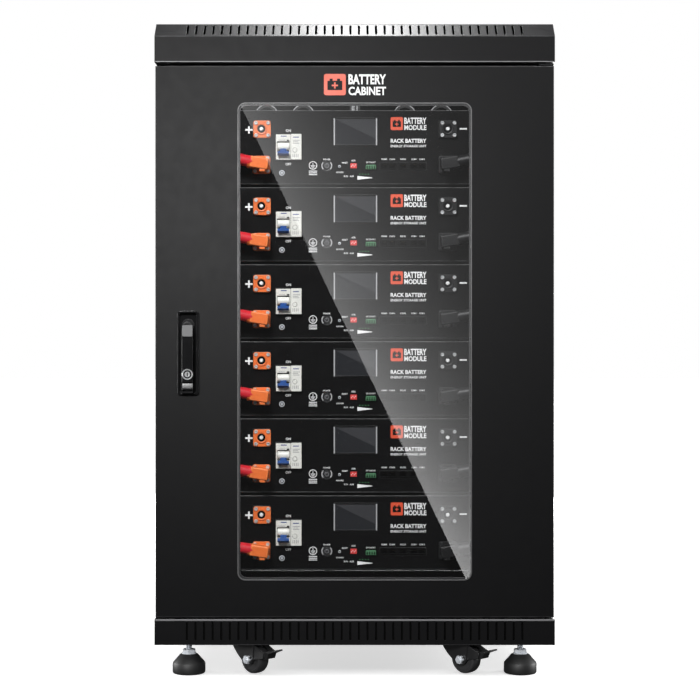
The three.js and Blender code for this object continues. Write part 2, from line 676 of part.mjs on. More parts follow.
for (let i = 1; i <= BATTERY_COUNT; i += 1) {
  const shelf = new THREE.Group();
  shelf.position.z = STACK_TOP - (i - 1) * BATTERY_PITCH;
  object.add(shelf);
  add(`battery_${i}`, battery(), CASE_STEEL, shelf);
  add(`breaker_toggle_${i}`, breakerToggle(), BLUE, shelf).position.set(TOGGLE_X, TOGGLE_AXIS_Y, -BREAKER_DROP);
  add(`power_button_${i}`, powerButton(), BLACK_PLASTIC, shelf).position.set(BUTTON_X, FACE_Y, -BUTTON_DROP);
  add(`positive_lead_${i}`, lead(-1), ORANGE, shelf).position.z = -PLUG_DROP;
  add(`negative_lead_${i}`, lead(1), BLACK_PLASTIC, shelf).position.z = -PLUG_DROP;
}

for (const [corner, y] of [['front', FOOT_FRONT_Y], ['rear', FOOT_BACK_Y]]) {
  for (const [name, side] of SIDES) {
    add(`levelling_foot_${corner}_${name}`, levellingFoot(), RUBBER).position.set(side * FOOT_X, y, 0);
  }
}

for (const [corner, y] of [['front', CASTER_FRONT_Y], ['rear', CASTER_BACK_Y]]) {
  for (const [name, side] of SIDES) {
    const place = `${corner}_${name}`;
    const caster = new THREE.Group();
    caster.position.set(side * CASTER_X, y, 0);
    caster.rotation.z = radians(CASTER_YAW[place]);
    object.add(caster);
    add(`caster_fork_${place}`, casterFork(), STEEL, caster);
    add(`caster_wheel_${place}`, casterWheel(), BLACK_PLASTIC, caster).position.set(0, -TRAIL, WHEEL_Z);
    if (corner === 'front') {
      add(`brake_lever_${place}`, brakeLever(), STEEL, caster).position.set(0, BRAKE_PIVOT.y, BRAKE_PIVOT.z);
    }
  }
}

export default object;
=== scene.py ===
"""Looks of a 19-inch battery cabinet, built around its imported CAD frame.

The world is in metres, +X right, -Y front, +Z up. Shapes are drawn in millimetres, and scaled when
they are placed.
"""

import json
import math

import bmesh
import bpy
from mathutils import Matrix, Vector

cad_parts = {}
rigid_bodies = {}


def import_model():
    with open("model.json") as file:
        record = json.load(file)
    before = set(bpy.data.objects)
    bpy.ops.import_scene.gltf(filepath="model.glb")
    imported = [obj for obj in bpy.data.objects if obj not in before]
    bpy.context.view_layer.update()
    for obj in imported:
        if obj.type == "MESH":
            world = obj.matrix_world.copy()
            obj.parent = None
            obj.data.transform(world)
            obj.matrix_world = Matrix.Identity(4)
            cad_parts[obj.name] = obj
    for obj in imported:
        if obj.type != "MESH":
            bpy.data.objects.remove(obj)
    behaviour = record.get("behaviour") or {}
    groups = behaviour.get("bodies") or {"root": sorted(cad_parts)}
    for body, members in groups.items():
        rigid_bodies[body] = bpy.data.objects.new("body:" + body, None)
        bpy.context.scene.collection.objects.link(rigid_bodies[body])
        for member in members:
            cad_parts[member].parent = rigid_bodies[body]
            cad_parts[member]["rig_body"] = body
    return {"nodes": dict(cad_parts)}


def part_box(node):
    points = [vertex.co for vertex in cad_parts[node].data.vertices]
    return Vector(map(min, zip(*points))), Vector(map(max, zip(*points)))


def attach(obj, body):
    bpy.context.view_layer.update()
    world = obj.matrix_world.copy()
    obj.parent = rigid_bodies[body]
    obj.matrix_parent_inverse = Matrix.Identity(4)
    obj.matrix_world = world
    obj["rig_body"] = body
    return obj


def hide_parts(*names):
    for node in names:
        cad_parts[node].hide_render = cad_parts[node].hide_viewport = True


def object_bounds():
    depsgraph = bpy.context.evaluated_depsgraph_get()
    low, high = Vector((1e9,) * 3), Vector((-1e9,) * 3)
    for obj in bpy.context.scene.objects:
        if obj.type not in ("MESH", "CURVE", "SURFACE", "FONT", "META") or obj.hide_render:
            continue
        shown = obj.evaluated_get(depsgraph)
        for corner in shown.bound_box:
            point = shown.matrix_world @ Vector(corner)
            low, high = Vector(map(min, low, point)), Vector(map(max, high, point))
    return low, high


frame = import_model()
cad_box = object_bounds()

MM = 0.001
SIDES = (("left", -1), ("right", 1))
CORNERS = [f"{row}_{side}" for row in ("front", "rear") for side, _ in SIDES]
OUTWARD = {-1: "left", 1: "right"}
SQUARE_CORNERS = ((-1, -1), (-1, 1), (1, -1), (1, 1))
BATTERIES = range(1, 7)

# Driving sizes in millimetres; distances on a battery are from its middle, its face and its top edge.
BREAKER_PROUD = 6
POLE_X = 161
SOCKET_Z = -32.7
PLUG_Z = -94.7
BREAKER_X = -114.5
BREAKER_Z = -63.3
BREAKER_HALF = 22.5
TOGGLE_X = -123
TEST_BUTTON_X = -103.2
TEST_BUTTON_Z = -69.8
EARTH_MARK_X = -72
RACK_SCREW_X = 232.5
BUTTON_X = -48
BUTTON_Z = -96
PORT_Z = -97
CABLE_RADIUS = 9.9
LEAD_ROUTE = [
    (174, -21, 3), (196, -24, 7), (228, -27, 10), (257, -22, 11),
    (278, -5, 11), (289, 16, 11), (290.7, 32, 11),
]
PLUG_TILT = 9

# Driving sizes of the cabinet in millimetres.
WINDOW = (-196.5, 196.5, 164, 968.5)
HANDLE_X = -281
LOCK_Z = 511
CABLE_RING_X = (-172, -100, 100, 172)
CABLE_RING_Z = 1014
CABLE_PLATE_Y = 176
# Half the width of the grey strips that paint highlight lines along the base and roof edges.
HIGHLIGHT_STRIP_HALF = 337
LUG_X = 296.2
BUSBAR_BACK_X = 306.2
SIDE_LOCK_Y = (-180, 220)
SIDE_LOCK_Z = 1000
BADGE_Z = 574.5
BADGE_SLOPE = math.degrees(math.atan2(5.1, 29))
CASTER_YAW = {"front_left": 46, "front_right": 50, "rear_left": 75, "rear_right": -60}


def box_mm(node):
    low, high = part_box(node)
    return low / MM, high / MM


SHELL_HIGH = Vector(cad_box[1]) / MM
FACE_Y = box_mm("battery_1")[0].y + BREAKER_PROUD
DOOR_FRONT = box_mm("door_panel")[0].y
GLASS_LOW, GLASS_HIGH = box_mm("door_glass")
LEVER_FRONT = box_mm("handle_lever")[0].y


# ---- materials --------------------------------------------------------------------------------
def new_material(name):
    material = bpy.data.materials.new(name)
    material.use_nodes = True
    tree = material.node_tree
    return material, tree, tree.nodes["Principled BSDF"]


def noise(tree, place, scale, detail=3.0):
    node = tree.nodes.new("ShaderNodeTexNoise")
    node.inputs["Scale"].default_value = scale
    node.inputs["Detail"].default_value = detail
    tree.links.new(place, node.inputs["Vector"])
    return node.outputs["Fac"]


def blend_colours(tree, share, first, second):
    node = tree.nodes.new("ShaderNodeMix")
    node.data_type = "RGBA"
    tree.links.new(share, node.inputs["Factor"])
    for socket, value in ((node.inputs["A"], first), (node.inputs["B"], second)):
        if isinstance(value, tuple):
            socket.default_value = (*value, 1)
        else:
            tree.links.new(value, socket)
    return node.outputs["Result"]


def remap(tree, value, low, high, from_low=0.3, from_high=0.7):
    node = tree.nodes.new("ShaderNodeMapRange")
    tree.links.new(value, node.inputs["Value"])
    node.inputs["From Min"].default_value = from_low
    node.inputs["From Max"].default_value = from_high
    node.inputs["To Min"].default_value = low
    node.inputs["To Max"].default_value = high
    return node.outputs["Result"]


def calculate(tree, operation, first, second):
    node = tree.nodes.new("ShaderNodeMath")
    node.operation = operation
    for socket, value in zip(node.inputs, (first, second)):
        if isinstance(value, (int, float)):
            socket.default_value = value
        else:
            tree.links.new(value, socket)
    return node.outputs["Value"]


def surface(name, colour, roughness, metallic=0.0, drift=0.12, patch=18.0, grain=700.0, bump=0.12,
            edge_wear_and_highlight=None, wear_and_highlight_share=0.5, specular=0.5, coat=0.0, stretch=(1, 1, 1), smudge=0.12):
    """A colour that drifts in patches, uneven roughness, a fine grain, and rounded edges turned to another
    colour, partly scuffed paint and partly a painted highlight.
    """
    material, tree, shader = new_material(name)
    shader.inputs["Metallic"].default_value = metallic
    shader.inputs["Specular IOR Level"].default_value = specular
    shader.inputs["Coat Weight"].default_value = coat
    shader.inputs["Coat Roughness"].default_value = 0.15
    mapping = tree.nodes.new("ShaderNodeMapping")
    mapping.inputs["Scale"].default_value = stretch
    tree.links.new(tree.nodes.new("ShaderNodeTexCoord").outputs["Object"], mapping.inputs["Vector"])
    place = mapping.outputs["Vector"]
    patches = noise(tree, place, patch)
    dark = tuple(c * (1 - drift) for c in colour)
    light = tuple(min(1.0, c * (1 + drift)) for c in colour)
    shade = blend_colours(tree, patches, dark, light)
    # The edge colour stands partly for scuffed paint and partly for a painted highlight along the rounded
    # edges.
    if edge_wear_and_highlight:
        edge = tree.nodes.new("ShaderNodeAttribute")
        edge.attribute_name = "edge"
        scuff_and_highlight_amount = remap(tree, noise(tree, place, 60.0), 0.35 * wear_and_highlight_share, wear_and_highlight_share)
        shade = blend_colours(tree, calculate(tree, "MULTIPLY", edge.outputs["Fac"], scuff_and_highlight_amount), shade, edge_wear_and_highlight)
    tree.links.new(shade, shader.inputs["Base Color"])
    smudges = noise(tree, place, 3.1 * patch, 5.0)
    uneven = remap(tree, smudges, roughness * (1 - smudge), roughness * (1 + smudge))
    tree.links.new(uneven, shader.inputs["Roughness"])
    relief = tree.nodes.new("ShaderNodeBump")
    relief.inputs["Strength"].default_value = bump
    relief.inputs["Distance"].default_value = 0.0003
    tree.links.new(noise(tree, place, grain, 2.0), relief.inputs["Height"])
    tree.links.new(relief.outputs["Normal"], shader.inputs["Normal"])
    return material


def glowing(name, colour, strength):
    material, _, shader = new_material(name)
    shader.inputs["Base Color"].default_value = (*colour, 1)
    shader.inputs["Emission Color"].default_value = (*colour, 1)
    shader.inputs["Emission Strength"].default_value = strength
    return material


def toughened_glass():
    material, tree, shader = new_material("tinted_glass")
    shader.inputs["Base Color"].default_value = (0.93, 0.94, 0.95, 1)
    shader.inputs["Transmission Weight"].default_value = 1.0
    shader.inputs["IOR"].default_value = 1.75
    place = tree.nodes.new("ShaderNodeTexCoord").outputs["Object"]
    haze = noise(tree, place, 9.0, 4.0)
    tree.links.new(remap(tree, haze, 0.0, 0.03), shader.inputs["Roughness"])
    return material


# The lighter edge colours below are partly scuffed paint and partly a painted highlight on rounded edges.
POWDER = surface("powder_coat", (0.006, 0.006, 0.0065), 0.42, grain=950.0, bump=0.15,
                 edge_wear_and_highlight=(0.14, 0.14, 0.145), specular=0.1, drift=0.06, smudge=0.035)
RAIL = surface("rail_steel", (0.016, 0.016, 0.017), 0.42, edge_wear_and_highlight=(0.08, 0.08, 0.08))
CASE = surface("case_steel", (0.0026, 0.0026, 0.0028), 0.33, bump=0.06, edge_wear_and_highlight=(0.2, 0.2, 0.2), wear_and_highlight_share=0.8,
               specular=0.14)
COPPER = surface("copper_bar", (0.72, 0.36, 0.2), 0.32, 1.0, drift=0.2, bump=0.08, stretch=(1, 1, 0.15))
ZINC = surface("zinc_plate", (0.68, 0.71, 0.75), 0.33, 0.4, drift=0.15, patch=60.0, bump=0.12)
DARK_STEEL = surface("dark_steel", (0.05, 0.05, 0.052), 0.3, 0.7, bump=0.06, edge_wear_and_highlight=(0.35, 0.35, 0.35),
                     wear_and_highlight_share=0.9)
CHROME = surface("bright_chrome", (0.78, 0.79, 0.8), 0.3, 0.6, drift=0.05, bump=0.03)
TRIM = surface("silver_trim", (0.5, 0.5, 0.51), 0.35, 0.2, drift=0.05, bump=0.04)
HANDLE = surface("handle_plastic", (0.006, 0.006, 0.0065), 0.24, bump=0.05, edge_wear_and_highlight=(0.12, 0.12, 0.125),
                 specular=0.4)
ORANGE = surface("orange_plastic", (0.8, 0.17, 0.035), 0.38, drift=0.1, bump=0.1, edge_wear_and_highlight=(0.9, 0.3, 0.1))
RED_CABLE = surface("red_cable", (0.6, 0.018, 0.03), 0.36, drift=0.12, bump=0.12)
PLUG_BLACK = surface("plug_black", (0.008, 0.008, 0.0085), 0.45, bump=0.1, edge_wear_and_highlight=(0.04, 0.04, 0.04),
                     specular=0.3)
BREAKER = surface("breaker_white", (0.74, 0.74, 0.69), 0.36, drift=0.04, bump=0.06)
TOGGLE = surface("toggle_blue", (0.012, 0.06, 0.23), 0.33, drift=0.08, bump=0.06, edge_wear_and_highlight=(0.1, 0.2, 0.5))
BUTTON = surface("button_plastic", (0.02, 0.02, 0.021), 0.35, bump=0.06)
RUBBER = surface("rubber", (0.008, 0.0082, 0.0085), 0.55, grain=500.0, bump=0.3, edge_wear_and_highlight=(0.03, 0.03, 0.03))
CASTER = surface("caster_steel", (0.012, 0.012, 0.0125), 0.36, bump=0.12, edge_wear_and_highlight=(0.07, 0.07, 0.07))
NYLON = surface("wheel_nylon", (0.022, 0.022, 0.023), 0.42, patch=80.0, bump=0.15)
# A light grey that paints highlight lines along the base's top edge and the roof's lower edge.
PAINTED_HIGHLIGHT_GREY = surface("edge_trim", (0.2, 0.2, 0.205), 0.4, bump=0.04)
BEAD = surface("window_bead", (0.1, 0.1, 0.102), 0.42, bump=0.08)
INK_WHITE = surface("ink_white", (0.86, 0.86, 0.86), 0.5, drift=0.03, bump=0.03)
INK_GREY = surface("ink_grey", (0.22, 0.22, 0.23), 0.5, drift=0.06, bump=0.03)
INK_RED = surface("ink_red", (0.72, 0.085, 0.032), 0.45, drift=0.04, bump=0.03)
INK_BLUE = surface("ink_blue", (0.03, 0.05, 0.22), 0.45, drift=0.04, bump=0.03)
SCREEN = surface("screen_dark", (0.02, 0.021, 0.024), 0.12, drift=0.05, bump=0.01, coat=0.4)
# A lighter dark grey that paints a reflection across each screen.
SCREEN_PAINTED_SHEEN = surface("screen_film", (0.045, 0.046, 0.05), 0.16, drift=0.05, bump=0.01, coat=0.3)
# Near-black; it also serves as painted shade in lock and terminal holes and behind the base vents.
SOCKET_DARK = surface("socket_dark", (0.002, 0.002, 0.002), 0.6, bump=0.05, specular=0.05)
GOLD = surface("gold_contact", (0.85, 0.6, 0.25), 0.25, 1.0, bump=0.03)
DIP_RED = surface("dip_red", (0.7, 0.045, 0.04), 0.35, bump=0.05)
TERMINAL = surface("terminal_green", (0.06, 0.2, 0.09), 0.4, bump=0.08)
PORCELAIN = surface("insulator_red", (0.24, 0.03, 0.02), 0.3, bump=0.08)
LED_GREEN = glowing("led_green", (0.04, 0.22, 0.07), 0.3)
GLASS = toughened_glass()

# Each pole of a battery: its side, its plastic, its cable and the slot of the plastic.
POLES = (
    ("positive", -1, ORANGE, RED_CABLE, "orange_plastic"),
    ("negative", 1, PLUG_BLACK, PLUG_BLACK, "black_plug_plastic"),
)


# ---- shapes -----------------------------------------------------------------------------------
def new_shape():
    shape = bmesh.new()
    shape.faces.layers.float.new("edge")
    return shape


def sharp_edges(shape, degrees):
    limit = math.radians(degrees)
    return [e for e in shape.edges if len(e.link_faces) == 2 and e.calc_face_angle() > limit]


def bevelled(shape, edges, width, segments=2, wear_and_highlight_share=1.0):
    """Rounds the edges off, and marks how much of the edge colour the new faces take: partly scuffed paint,
    partly a painted highlight.
    """
    made = bmesh.ops.bevel(shape, geom=list(edges), offset=width, segments=segments, profile=0.5,
                           affect="EDGES", clamp_overlap=False)
    edge_wear_and_highlight = shape.faces.layers.float["edge"]
    for face in made["faces"]:
        face[edge_wear_and_highlight] = wear_and_highlight_share
    return shape


def moved(shape, x=0.0, y=0.0, z=0.0):
    bmesh.ops.translate(shape, verts=shape.verts[:], vec=(x, y, z))
    return shape


def rotated(shape, degrees, axis, centre=(0, 0, 0)):
    turn = Matrix.Rotation(math.radians(degrees), 3, axis)
    bmesh.ops.rotate(shape, verts=shape.verts[:], cent=centre, matrix=turn)
    return shape


def joined(*shapes):
    whole = new_shape()
    for shape in shapes:
        mesh = bpy.data.meshes.new("part")
        shape.to_mesh(mesh)
        shape.free()
        whole.from_mesh(mesh)
        bpy.data.meshes.remove(mesh)
    return whole


def block(x0, x1, y0, y1, z0, z1, round_off=0.4, segments=2):
    shape = new_shape()
    size = Matrix.Diagonal((x1 - x0, y1 - y0, z1 - z0, 1))
    middle = Matrix.Translation(((x0 + x1) / 2, (y0 + y1) / 2, (z0 + z1) / 2))
    bmesh.ops.create_cube(shape, size=1.0, matrix=middle @ size)
    return bevelled(shape, shape.edges[:], round_off, segments)


# Where the height of a turned profile points.
HEIGHT_TO = {
    "up": Matrix.Identity(3),
    "front": Matrix.Rotation(math.pi / 2, 3, "X"),
    "back": Matrix.Rotation(-math.pi / 2, 3, "X"),
    "right": Matrix.Rotation(math.pi / 2, 3, "Y"),
    "left": Matrix.Rotation(-math.pi / 2, 3, "Y"),
}


def lathe(profile, towards="front", centre=(0, 0, 0), steps=24):
    """Turns (radius, height) points. The profile starts and ends on the axis, or else closes into a ring."""
    shape = new_shape()
    rings = []
    for radius, height in profile:
        turns = steps if radius else 1
        angles = [2 * math.pi * (k + 0.5) / turns for k in range(turns)]
        rings.append([shape.verts.new((radius * math.cos(a), radius * math.sin(a), height)) for a in angles])
    if profile[0][0]:
        rings.append(rings[0])
    for low, high in zip(rings, rings[1:]):
        for i in range(steps):
            j = i + 1
            corners = [low[i % len(low)], low[j % len(low)], high[j % len(high)], high[i % len(high)]]
            shape.faces.new(list(dict.fromkeys(corners)))
    bmesh.ops.recalc_face_normals(shape, faces=shape.faces[:])
    bmesh.ops.rotate(shape, verts=shape.verts[:], cent=(0, 0, 0), matrix=HEIGHT_TO[towards])
    return moved(shape, *centre)


def rectangle(x0, x1, z0, z1):
    return [(x0, z0), (x1, z0), (x1, z1), (x0, z1)]


def rounded(x0, x1, z0, z1, radius, steps=4):
    left, right, bottom, top = x0 + radius, x1 - radius, z0 + radius, z1 - radius
    corners = [(right, top), (left, top), (left, bottom), (right, bottom)]
    points = []
    for quarter, (x, z) in enumerate(corners):
        for k in range(steps + 1):
            angle = math.pi / 2 * (quarter + k / steps)
            points.append((x + radius * math.cos(angle), z + radius * math.sin(angle)))
    return points


def circle(x, z, radius, steps=32):
    angles = [2 * math.pi * k / steps for k in range(steps)]
    return [(x + radius * math.cos(a), z + radius * math.sin(a)) for a in angles]


def plate(outlines, y0, y1, round_off=0.3, segments=1):
    """A flat piece from y0 back to y1. Outlines are in (x, z), the outer one first and then the holes."""
    shape = new_shape()
    rims = []
    for outline in outlines:
        spots = [shape.verts.new((x, y0, z)) for x, z in outline]
        rims += [shape.edges.new(pair) for pair in zip(spots, spots[1:] + spots[:1])]
    bmesh.ops.triangle_fill(shape, use_beauty=True, use_dissolve=False, edges=rims)
    bmesh.ops.dissolve_limit(shape, angle_limit=0.01, verts=shape.verts[:], edges=shape.edges[:])
    grown = bmesh.ops.extrude_face_region(shape, geom=shape.faces[:])["geom"]
    back = [g for g in grown if isinstance(g, bmesh.types.BMVert)]
    bmesh.ops.translate(shape, verts=back, vec=(0, y1 - y0, 0))
    bmesh.ops.recalc_face_normals(shape, faces=shape.faces[:])
    if round_off:
        middle = (y0 + y1) / 2
        rim = [e for e in sharp_edges(shape, 60) if all((v.co.y < middle) == (y0 < y1) for v in e.verts)]
        bevelled(shape, rim, round_off, segments)
    return shape


def from_curve(curve):
    holder = bpy.data.objects.new("holder", curve)
    mesh = bpy.data.meshes.new_from_object(holder)
    shape = new_shape()
    shape.from_mesh(mesh)
    bpy.data.objects.remove(holder)
    bpy.data.curves.remove(curve)
    bpy.data.meshes.remove(mesh)
    return shape


def tube(points, radius):
    curve = bpy.data.curves.new("route", "CURVE")
    curve.dimensions = "3D"
    curve.bevel_depth = radius
    curve.bevel_resolution = 5
    curve.use_fill_caps = True
    curve.resolution_u = 8
    spline = curve.splines.new("BEZIER")
    spline.bezier_points.add(len(points) - 1)
    for knot, point in zip(spline.bezier_points, points):
        knot.co = point
        knot.handle_left_type = "AUTO"
        knot.handle_right_type = "AUTO"
    return from_curve(curve)


def words(text, x0, x1, z0, z1, y=-0.12, thick=0.16, fine=3, bold=0.018):
    """Raised letters that fill a rectangle on a face that looks to the front."""
    curve = bpy.data.curves.new("words", "FONT")
    curve.body = text
    curve.resolution_u = fine
    curve.extrude = 0.01
    curve.offset = bold
    shape = from_curve(curve)
    spots = [v.co for v in shape.verts]
    low = [min(s[k] for s in spots) for k in range(3)]
    high = [max(s[k] for s in spots) for k in range(3)]
    for vert in shape.verts:
        across, up, out = ((vert.co[k] - low[k]) / (high[k] - low[k]) for k in range(3))
        vert.co = (x0 + across * (x1 - x0), y - out * thick, z0 + up * (z1 - z0))
    return shape


def pictogram(x0, x1, z0, z1, y=-0.12, thick=0.16):
    """A plain battery symbol, cut out of a rounded square, with a plus inside it."""
    wide, tall = x1 - x0, z1 - z0
    case = [
        (0.16, 0.24), (0.84, 0.24), (0.84, 0.68), (0.74, 0.68), (0.74, 0.78), (0.6, 0.78),
        (0.6, 0.68), (0.4, 0.68), (0.4, 0.78), (0.26, 0.78), (0.26, 0.68), (0.16, 0.68),
    ]
    symbol = [(x0 + u * wide, z0 + v * tall) for u, v in case]
    square = plate([rounded(x0, x1, z0, z1, wide * 0.1), symbol], y - thick, y, 0)
    x, z, arm, half = x0 + wide / 2, z0 + 0.46 * tall, 0.14 * wide, 0.035 * wide
    plus = (
        rectangle(x - arm, x + arm, z - half, z + half),
        rectangle(x - half, x + half, z + half, z + arm),
        rectangle(x - half, x + half, z - arm, z - half),
    )
    return joined(square, *[plate([bar], y - thick, y, 0) for bar in plus])


def screw(x, z, y, radius, height=2.0, towards="front", depth_share=0.5, steps=20):
    """A screw head on a face at y, with a round chamfer and a recess."""
    rim = 0.18 * radius
    hole = 0.45 * radius
    floor = height * (1 - depth_share)
    profile = [
        (0, -0.4), (radius, -0.4), (radius, height - rim), (radius - rim, height),
        (hole, height), (0.85 * hole, floor), (0, floor),
    ]
    return lathe(profile, towards, (x, y, z), steps)


# ---- placing ----------------------------------------------------------------------------------
def mesh_of(name, shape, material, sharp=42):
    bmesh.ops.scale(shape, vec=(MM, MM, MM), verts=shape.verts[:])
    mesh = bpy.data.meshes.new(name)
    shape.to_mesh(mesh)
    shape.free()
    mesh.polygons.foreach_set("use_smooth", [True] * len(mesh.polygons))
    mesh.set_sharp_from_angle(angle=math.radians(sharp))
    mesh.materials.append(material)
    return mesh


def place(name, mesh, body="cabinet", slot=None, at=(0, 0, 0), flat=True, yaw=0):
    obj = bpy.data.objects.new(name, mesh)
    bpy.context.scene.collection.objects.link(obj)
    obj.location = Vector(at) * MM
    obj.rotation_euler.z = math.radians(yaw)
    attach(obj, body)
    if flat:
        normals = obj.modifiers.new("normals", "WEIGHTED_NORMAL")
        normals.keep_sharp = True
    return obj


def add(name, shape, material, body="cabinet", slot=None, flat=True):
    return place(name, mesh_of(name, shape, material), body, slot, flat=flat)


LONG_EDGE = 450


def refined(node, material, slot, width, front_edge=None, wear_and_highlight_share=0.3):
    """A copy of a CAD node with rounded edges, which stands for the node.

    front_edge rounds the long edges at its front more, and gives them the full edge colour, a painted
    highlight line as well as scuffed paint.
    """
    source = frame["nodes"][node]
    shape = new_shape()
    shape.from_mesh(source.data)
    bmesh.ops.scale(shape, vec=(1 / MM, 1 / MM, 1 / MM), verts=shape.verts[:])
    bmesh.ops.remove_doubles(shape, verts=shape.verts[:], dist=0.01)
    flat = math.radians(0.5)
    bmesh.ops.dissolve_limit(shape, angle_limit=flat, verts=shape.verts[:], edges=shape.edges[:])
    if front_edge:
        longest = [e for e in sharp_edges(shape, 30) if e.calc_length() > LONG_EDGE]
        front = min(v.co.y for e in longest for v in e.verts) + 0.01
        # The long front edges take the full edge colour: a painted highlight line as well as scuffed paint.
        bevelled(shape, [e for e in longest if all(v.co.y < front for v in e.verts)], front_edge, 3)
    bevelled(shape, sharp_edges(shape, 50), width, 2, wear_and_highlight_share)
    obj = add(f"{node}_shaped", shape, material, source["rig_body"], slot)
    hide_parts(node)
    return obj


def on_every_battery(suffix, shape, material, slot=None, body=None, flat=True):
    """One mesh, shown on each battery; it is drawn from the battery's middle, its face and its top edge."""
    mesh = mesh_of(suffix, shape, material)
    for i in BATTERIES:
        top = box_mm(f"battery_{i}")[1].z
        rides = f"{body}_{i}" if body else "cabinet"
        place(f"battery_{i}_{suffix}", mesh, rides, slot, (0, FACE_Y, top), flat)


# ---- cabinet and door -------------------------------------------------------------------------
def shell():
    for node in ("base_frame", "roof_cover"):
        refined(node, POWDER, "black_powder_coat", 0.35, 1.5, wear_and_highlight_share=0.05)
    for node in ("rear_panel", "left_side_panel", "right_side_panel"):
        refined(node, POWDER, "black_powder_coat", 0.35)
    refined("cabinet_frame", POWDER, "black_powder_coat", 0.4)


def rails_and_side_locks():
    profile = [(0, -0.5), (11, -0.5), (11, 0.6), (10.2, 1.4), (6, 1.4), (5.6, 0.5), (0, 0.5)]
    z = SIDE_LOCK_Z
    for side, sign in SIDES:
        refined(f"rack_rail_{side}", RAIL, "black_rail_steel", 0.3)
        x = sign * abs(box_mm(f"{side}_side_panel")[1 if sign > 0 else 0].x)
        locks = [lathe(profile, OUTWARD[sign], (x, y, z), 32) for y in SIDE_LOCK_Y]
        # Dark bars on the locks paint the shade inside their key slots.
        keyhole_shades = [block(x - 1, x + 1, y - 1, y + 1, z - 4, z + 4, 0.3) for y in SIDE_LOCK_Y]
        add(f"{side}_panel_locks", joined(*locks), ZINC)
        add(f"{side}_panel_keyways", joined(*keyhole_shades), SOCKET_DARK)


def vent_shade_and_highlight_strips():
    low, high = box_mm("base_frame")
    # A near-black sheet behind the base vents is painted shade, so that the vents read deep black.
    shade_sheet = plate([rounded(-318, 318, low.z + 3.5, 95, 1, 1)], low.y + 5, low.y + 8, 0.4)
    add("base_dust_filter", shade_sheet, SOCKET_DARK)
    roof_low = box_mm("roof_cover")[0].z
    # Grey strips along the base's top edge and the roof's lower edge are painted highlight lines.
    for name, z0, z1, round_off in (
        ("base_edge_trim", high.z - 2.9, high.z + 0.1, 0.4),
        ("roof_edge_trim", roof_low + 0.2, roof_low + 1.7, 0.3),
    ):
        highlight_strip = block(-HIGHLIGHT_STRIP_HALF, HIGHLIGHT_STRIP_HALF, low.y - 0.6, low.y + 0.6, z0, z1, round_off)
        add(name, highlight_strip, PAINTED_HIGHLIGHT_GREY)


def shell_screws():
    rear = SHELL_HIGH.y
    heads = [screw(x, z, rear, 5.5, 2.2, "back") for x in (-322, 0, 322) for z in (118, 568, 1018)]
    add("rear_panel_screws", joined(*heads), ZINC)
    cap = [(0, -0.5), (5, -0.5), (5, 1.2), (4.2, 2), (0, 2)]
    caps = [lathe(cap, "up", (x, y, SHELL_HIGH.z), 20) for x in (-318, 318) for y in (-280, 330)]
    add("roof_screws", joined(*caps), POWDER)


def cable_plate():
    y = CABLE_PLATE_Y
    collar = [
        (16.8, -4), (21, -4), (21, -2.2), (18.9, -2.2), (18.9, 0),
        (22.4, 0), (22.4, 1.2), (21.6, 2), (16.8, 2),
    ]
    collars = [lathe(collar, "front", (x, y, CABLE_RING_Z), 40) for x in CABLE_RING_X]
    add("cable_ring_grommets", joined(*collars), RUBBER)
    band = [(20.9, 1.9), (22.7, 1.4), (22.9, 2), (22.4, 2.9), (21.2, 2.9)]
    bands = [lathe(band, "front", (x, y, CABLE_RING_Z), 48) for x in CABLE_RING_X]
    add("cable_ring_bands", joined(*bands), TRIM, flat=False)
    bracket = joined(
        block(-8, 12, y - 2, y, 1019, 1036.5, 0.4),
        block(-8, 12, y - 14, y, 1019, 1021, 0.4),
    )
    add("cable_plate_bracket", bracket, RAIL)
    clips = joined(
        block(-4.4, 1.4, y - 5, y - 2, 1023, 1036, 0.6),
        block(5, 7.2, y - 4, y - 2, 1024, 1033, 0.5),
        screw(-1.5, 1030, y - 5, 2.2, 2.0),
    )
    add("cable_plate_clips", clips, TRIM)


def cabinet():
    for part in (shell, rails_and_side_locks, vent_shade_and_highlight_strips, shell_screws, cable_plate):
        part()


def busbars():
    rib = [
        (11.2, 0), (14, 0), (14.6, 1), (14, 3.2), (12, 4), (12, 5),
        (14, 5.8), (14.6, 7), (14, 8.8), (12.4, 9.6), (12.4, 13), (11.2, 13),
    ]
    for side, sign in SIDES:
        pole = "positive" if sign < 0 else "negative"
        refined(f"{pole}_busbar", COPPER, "copper_bar", 0.5)
        posts = [lathe(rib, OUTWARD[sign], (sign * BUSBAR_BACK_X, -204, z), 28) for z in (235, 500, 800)]
        add(f"busbar_insulators_{side}", joined(*posts), PORCELAIN, flat=False)


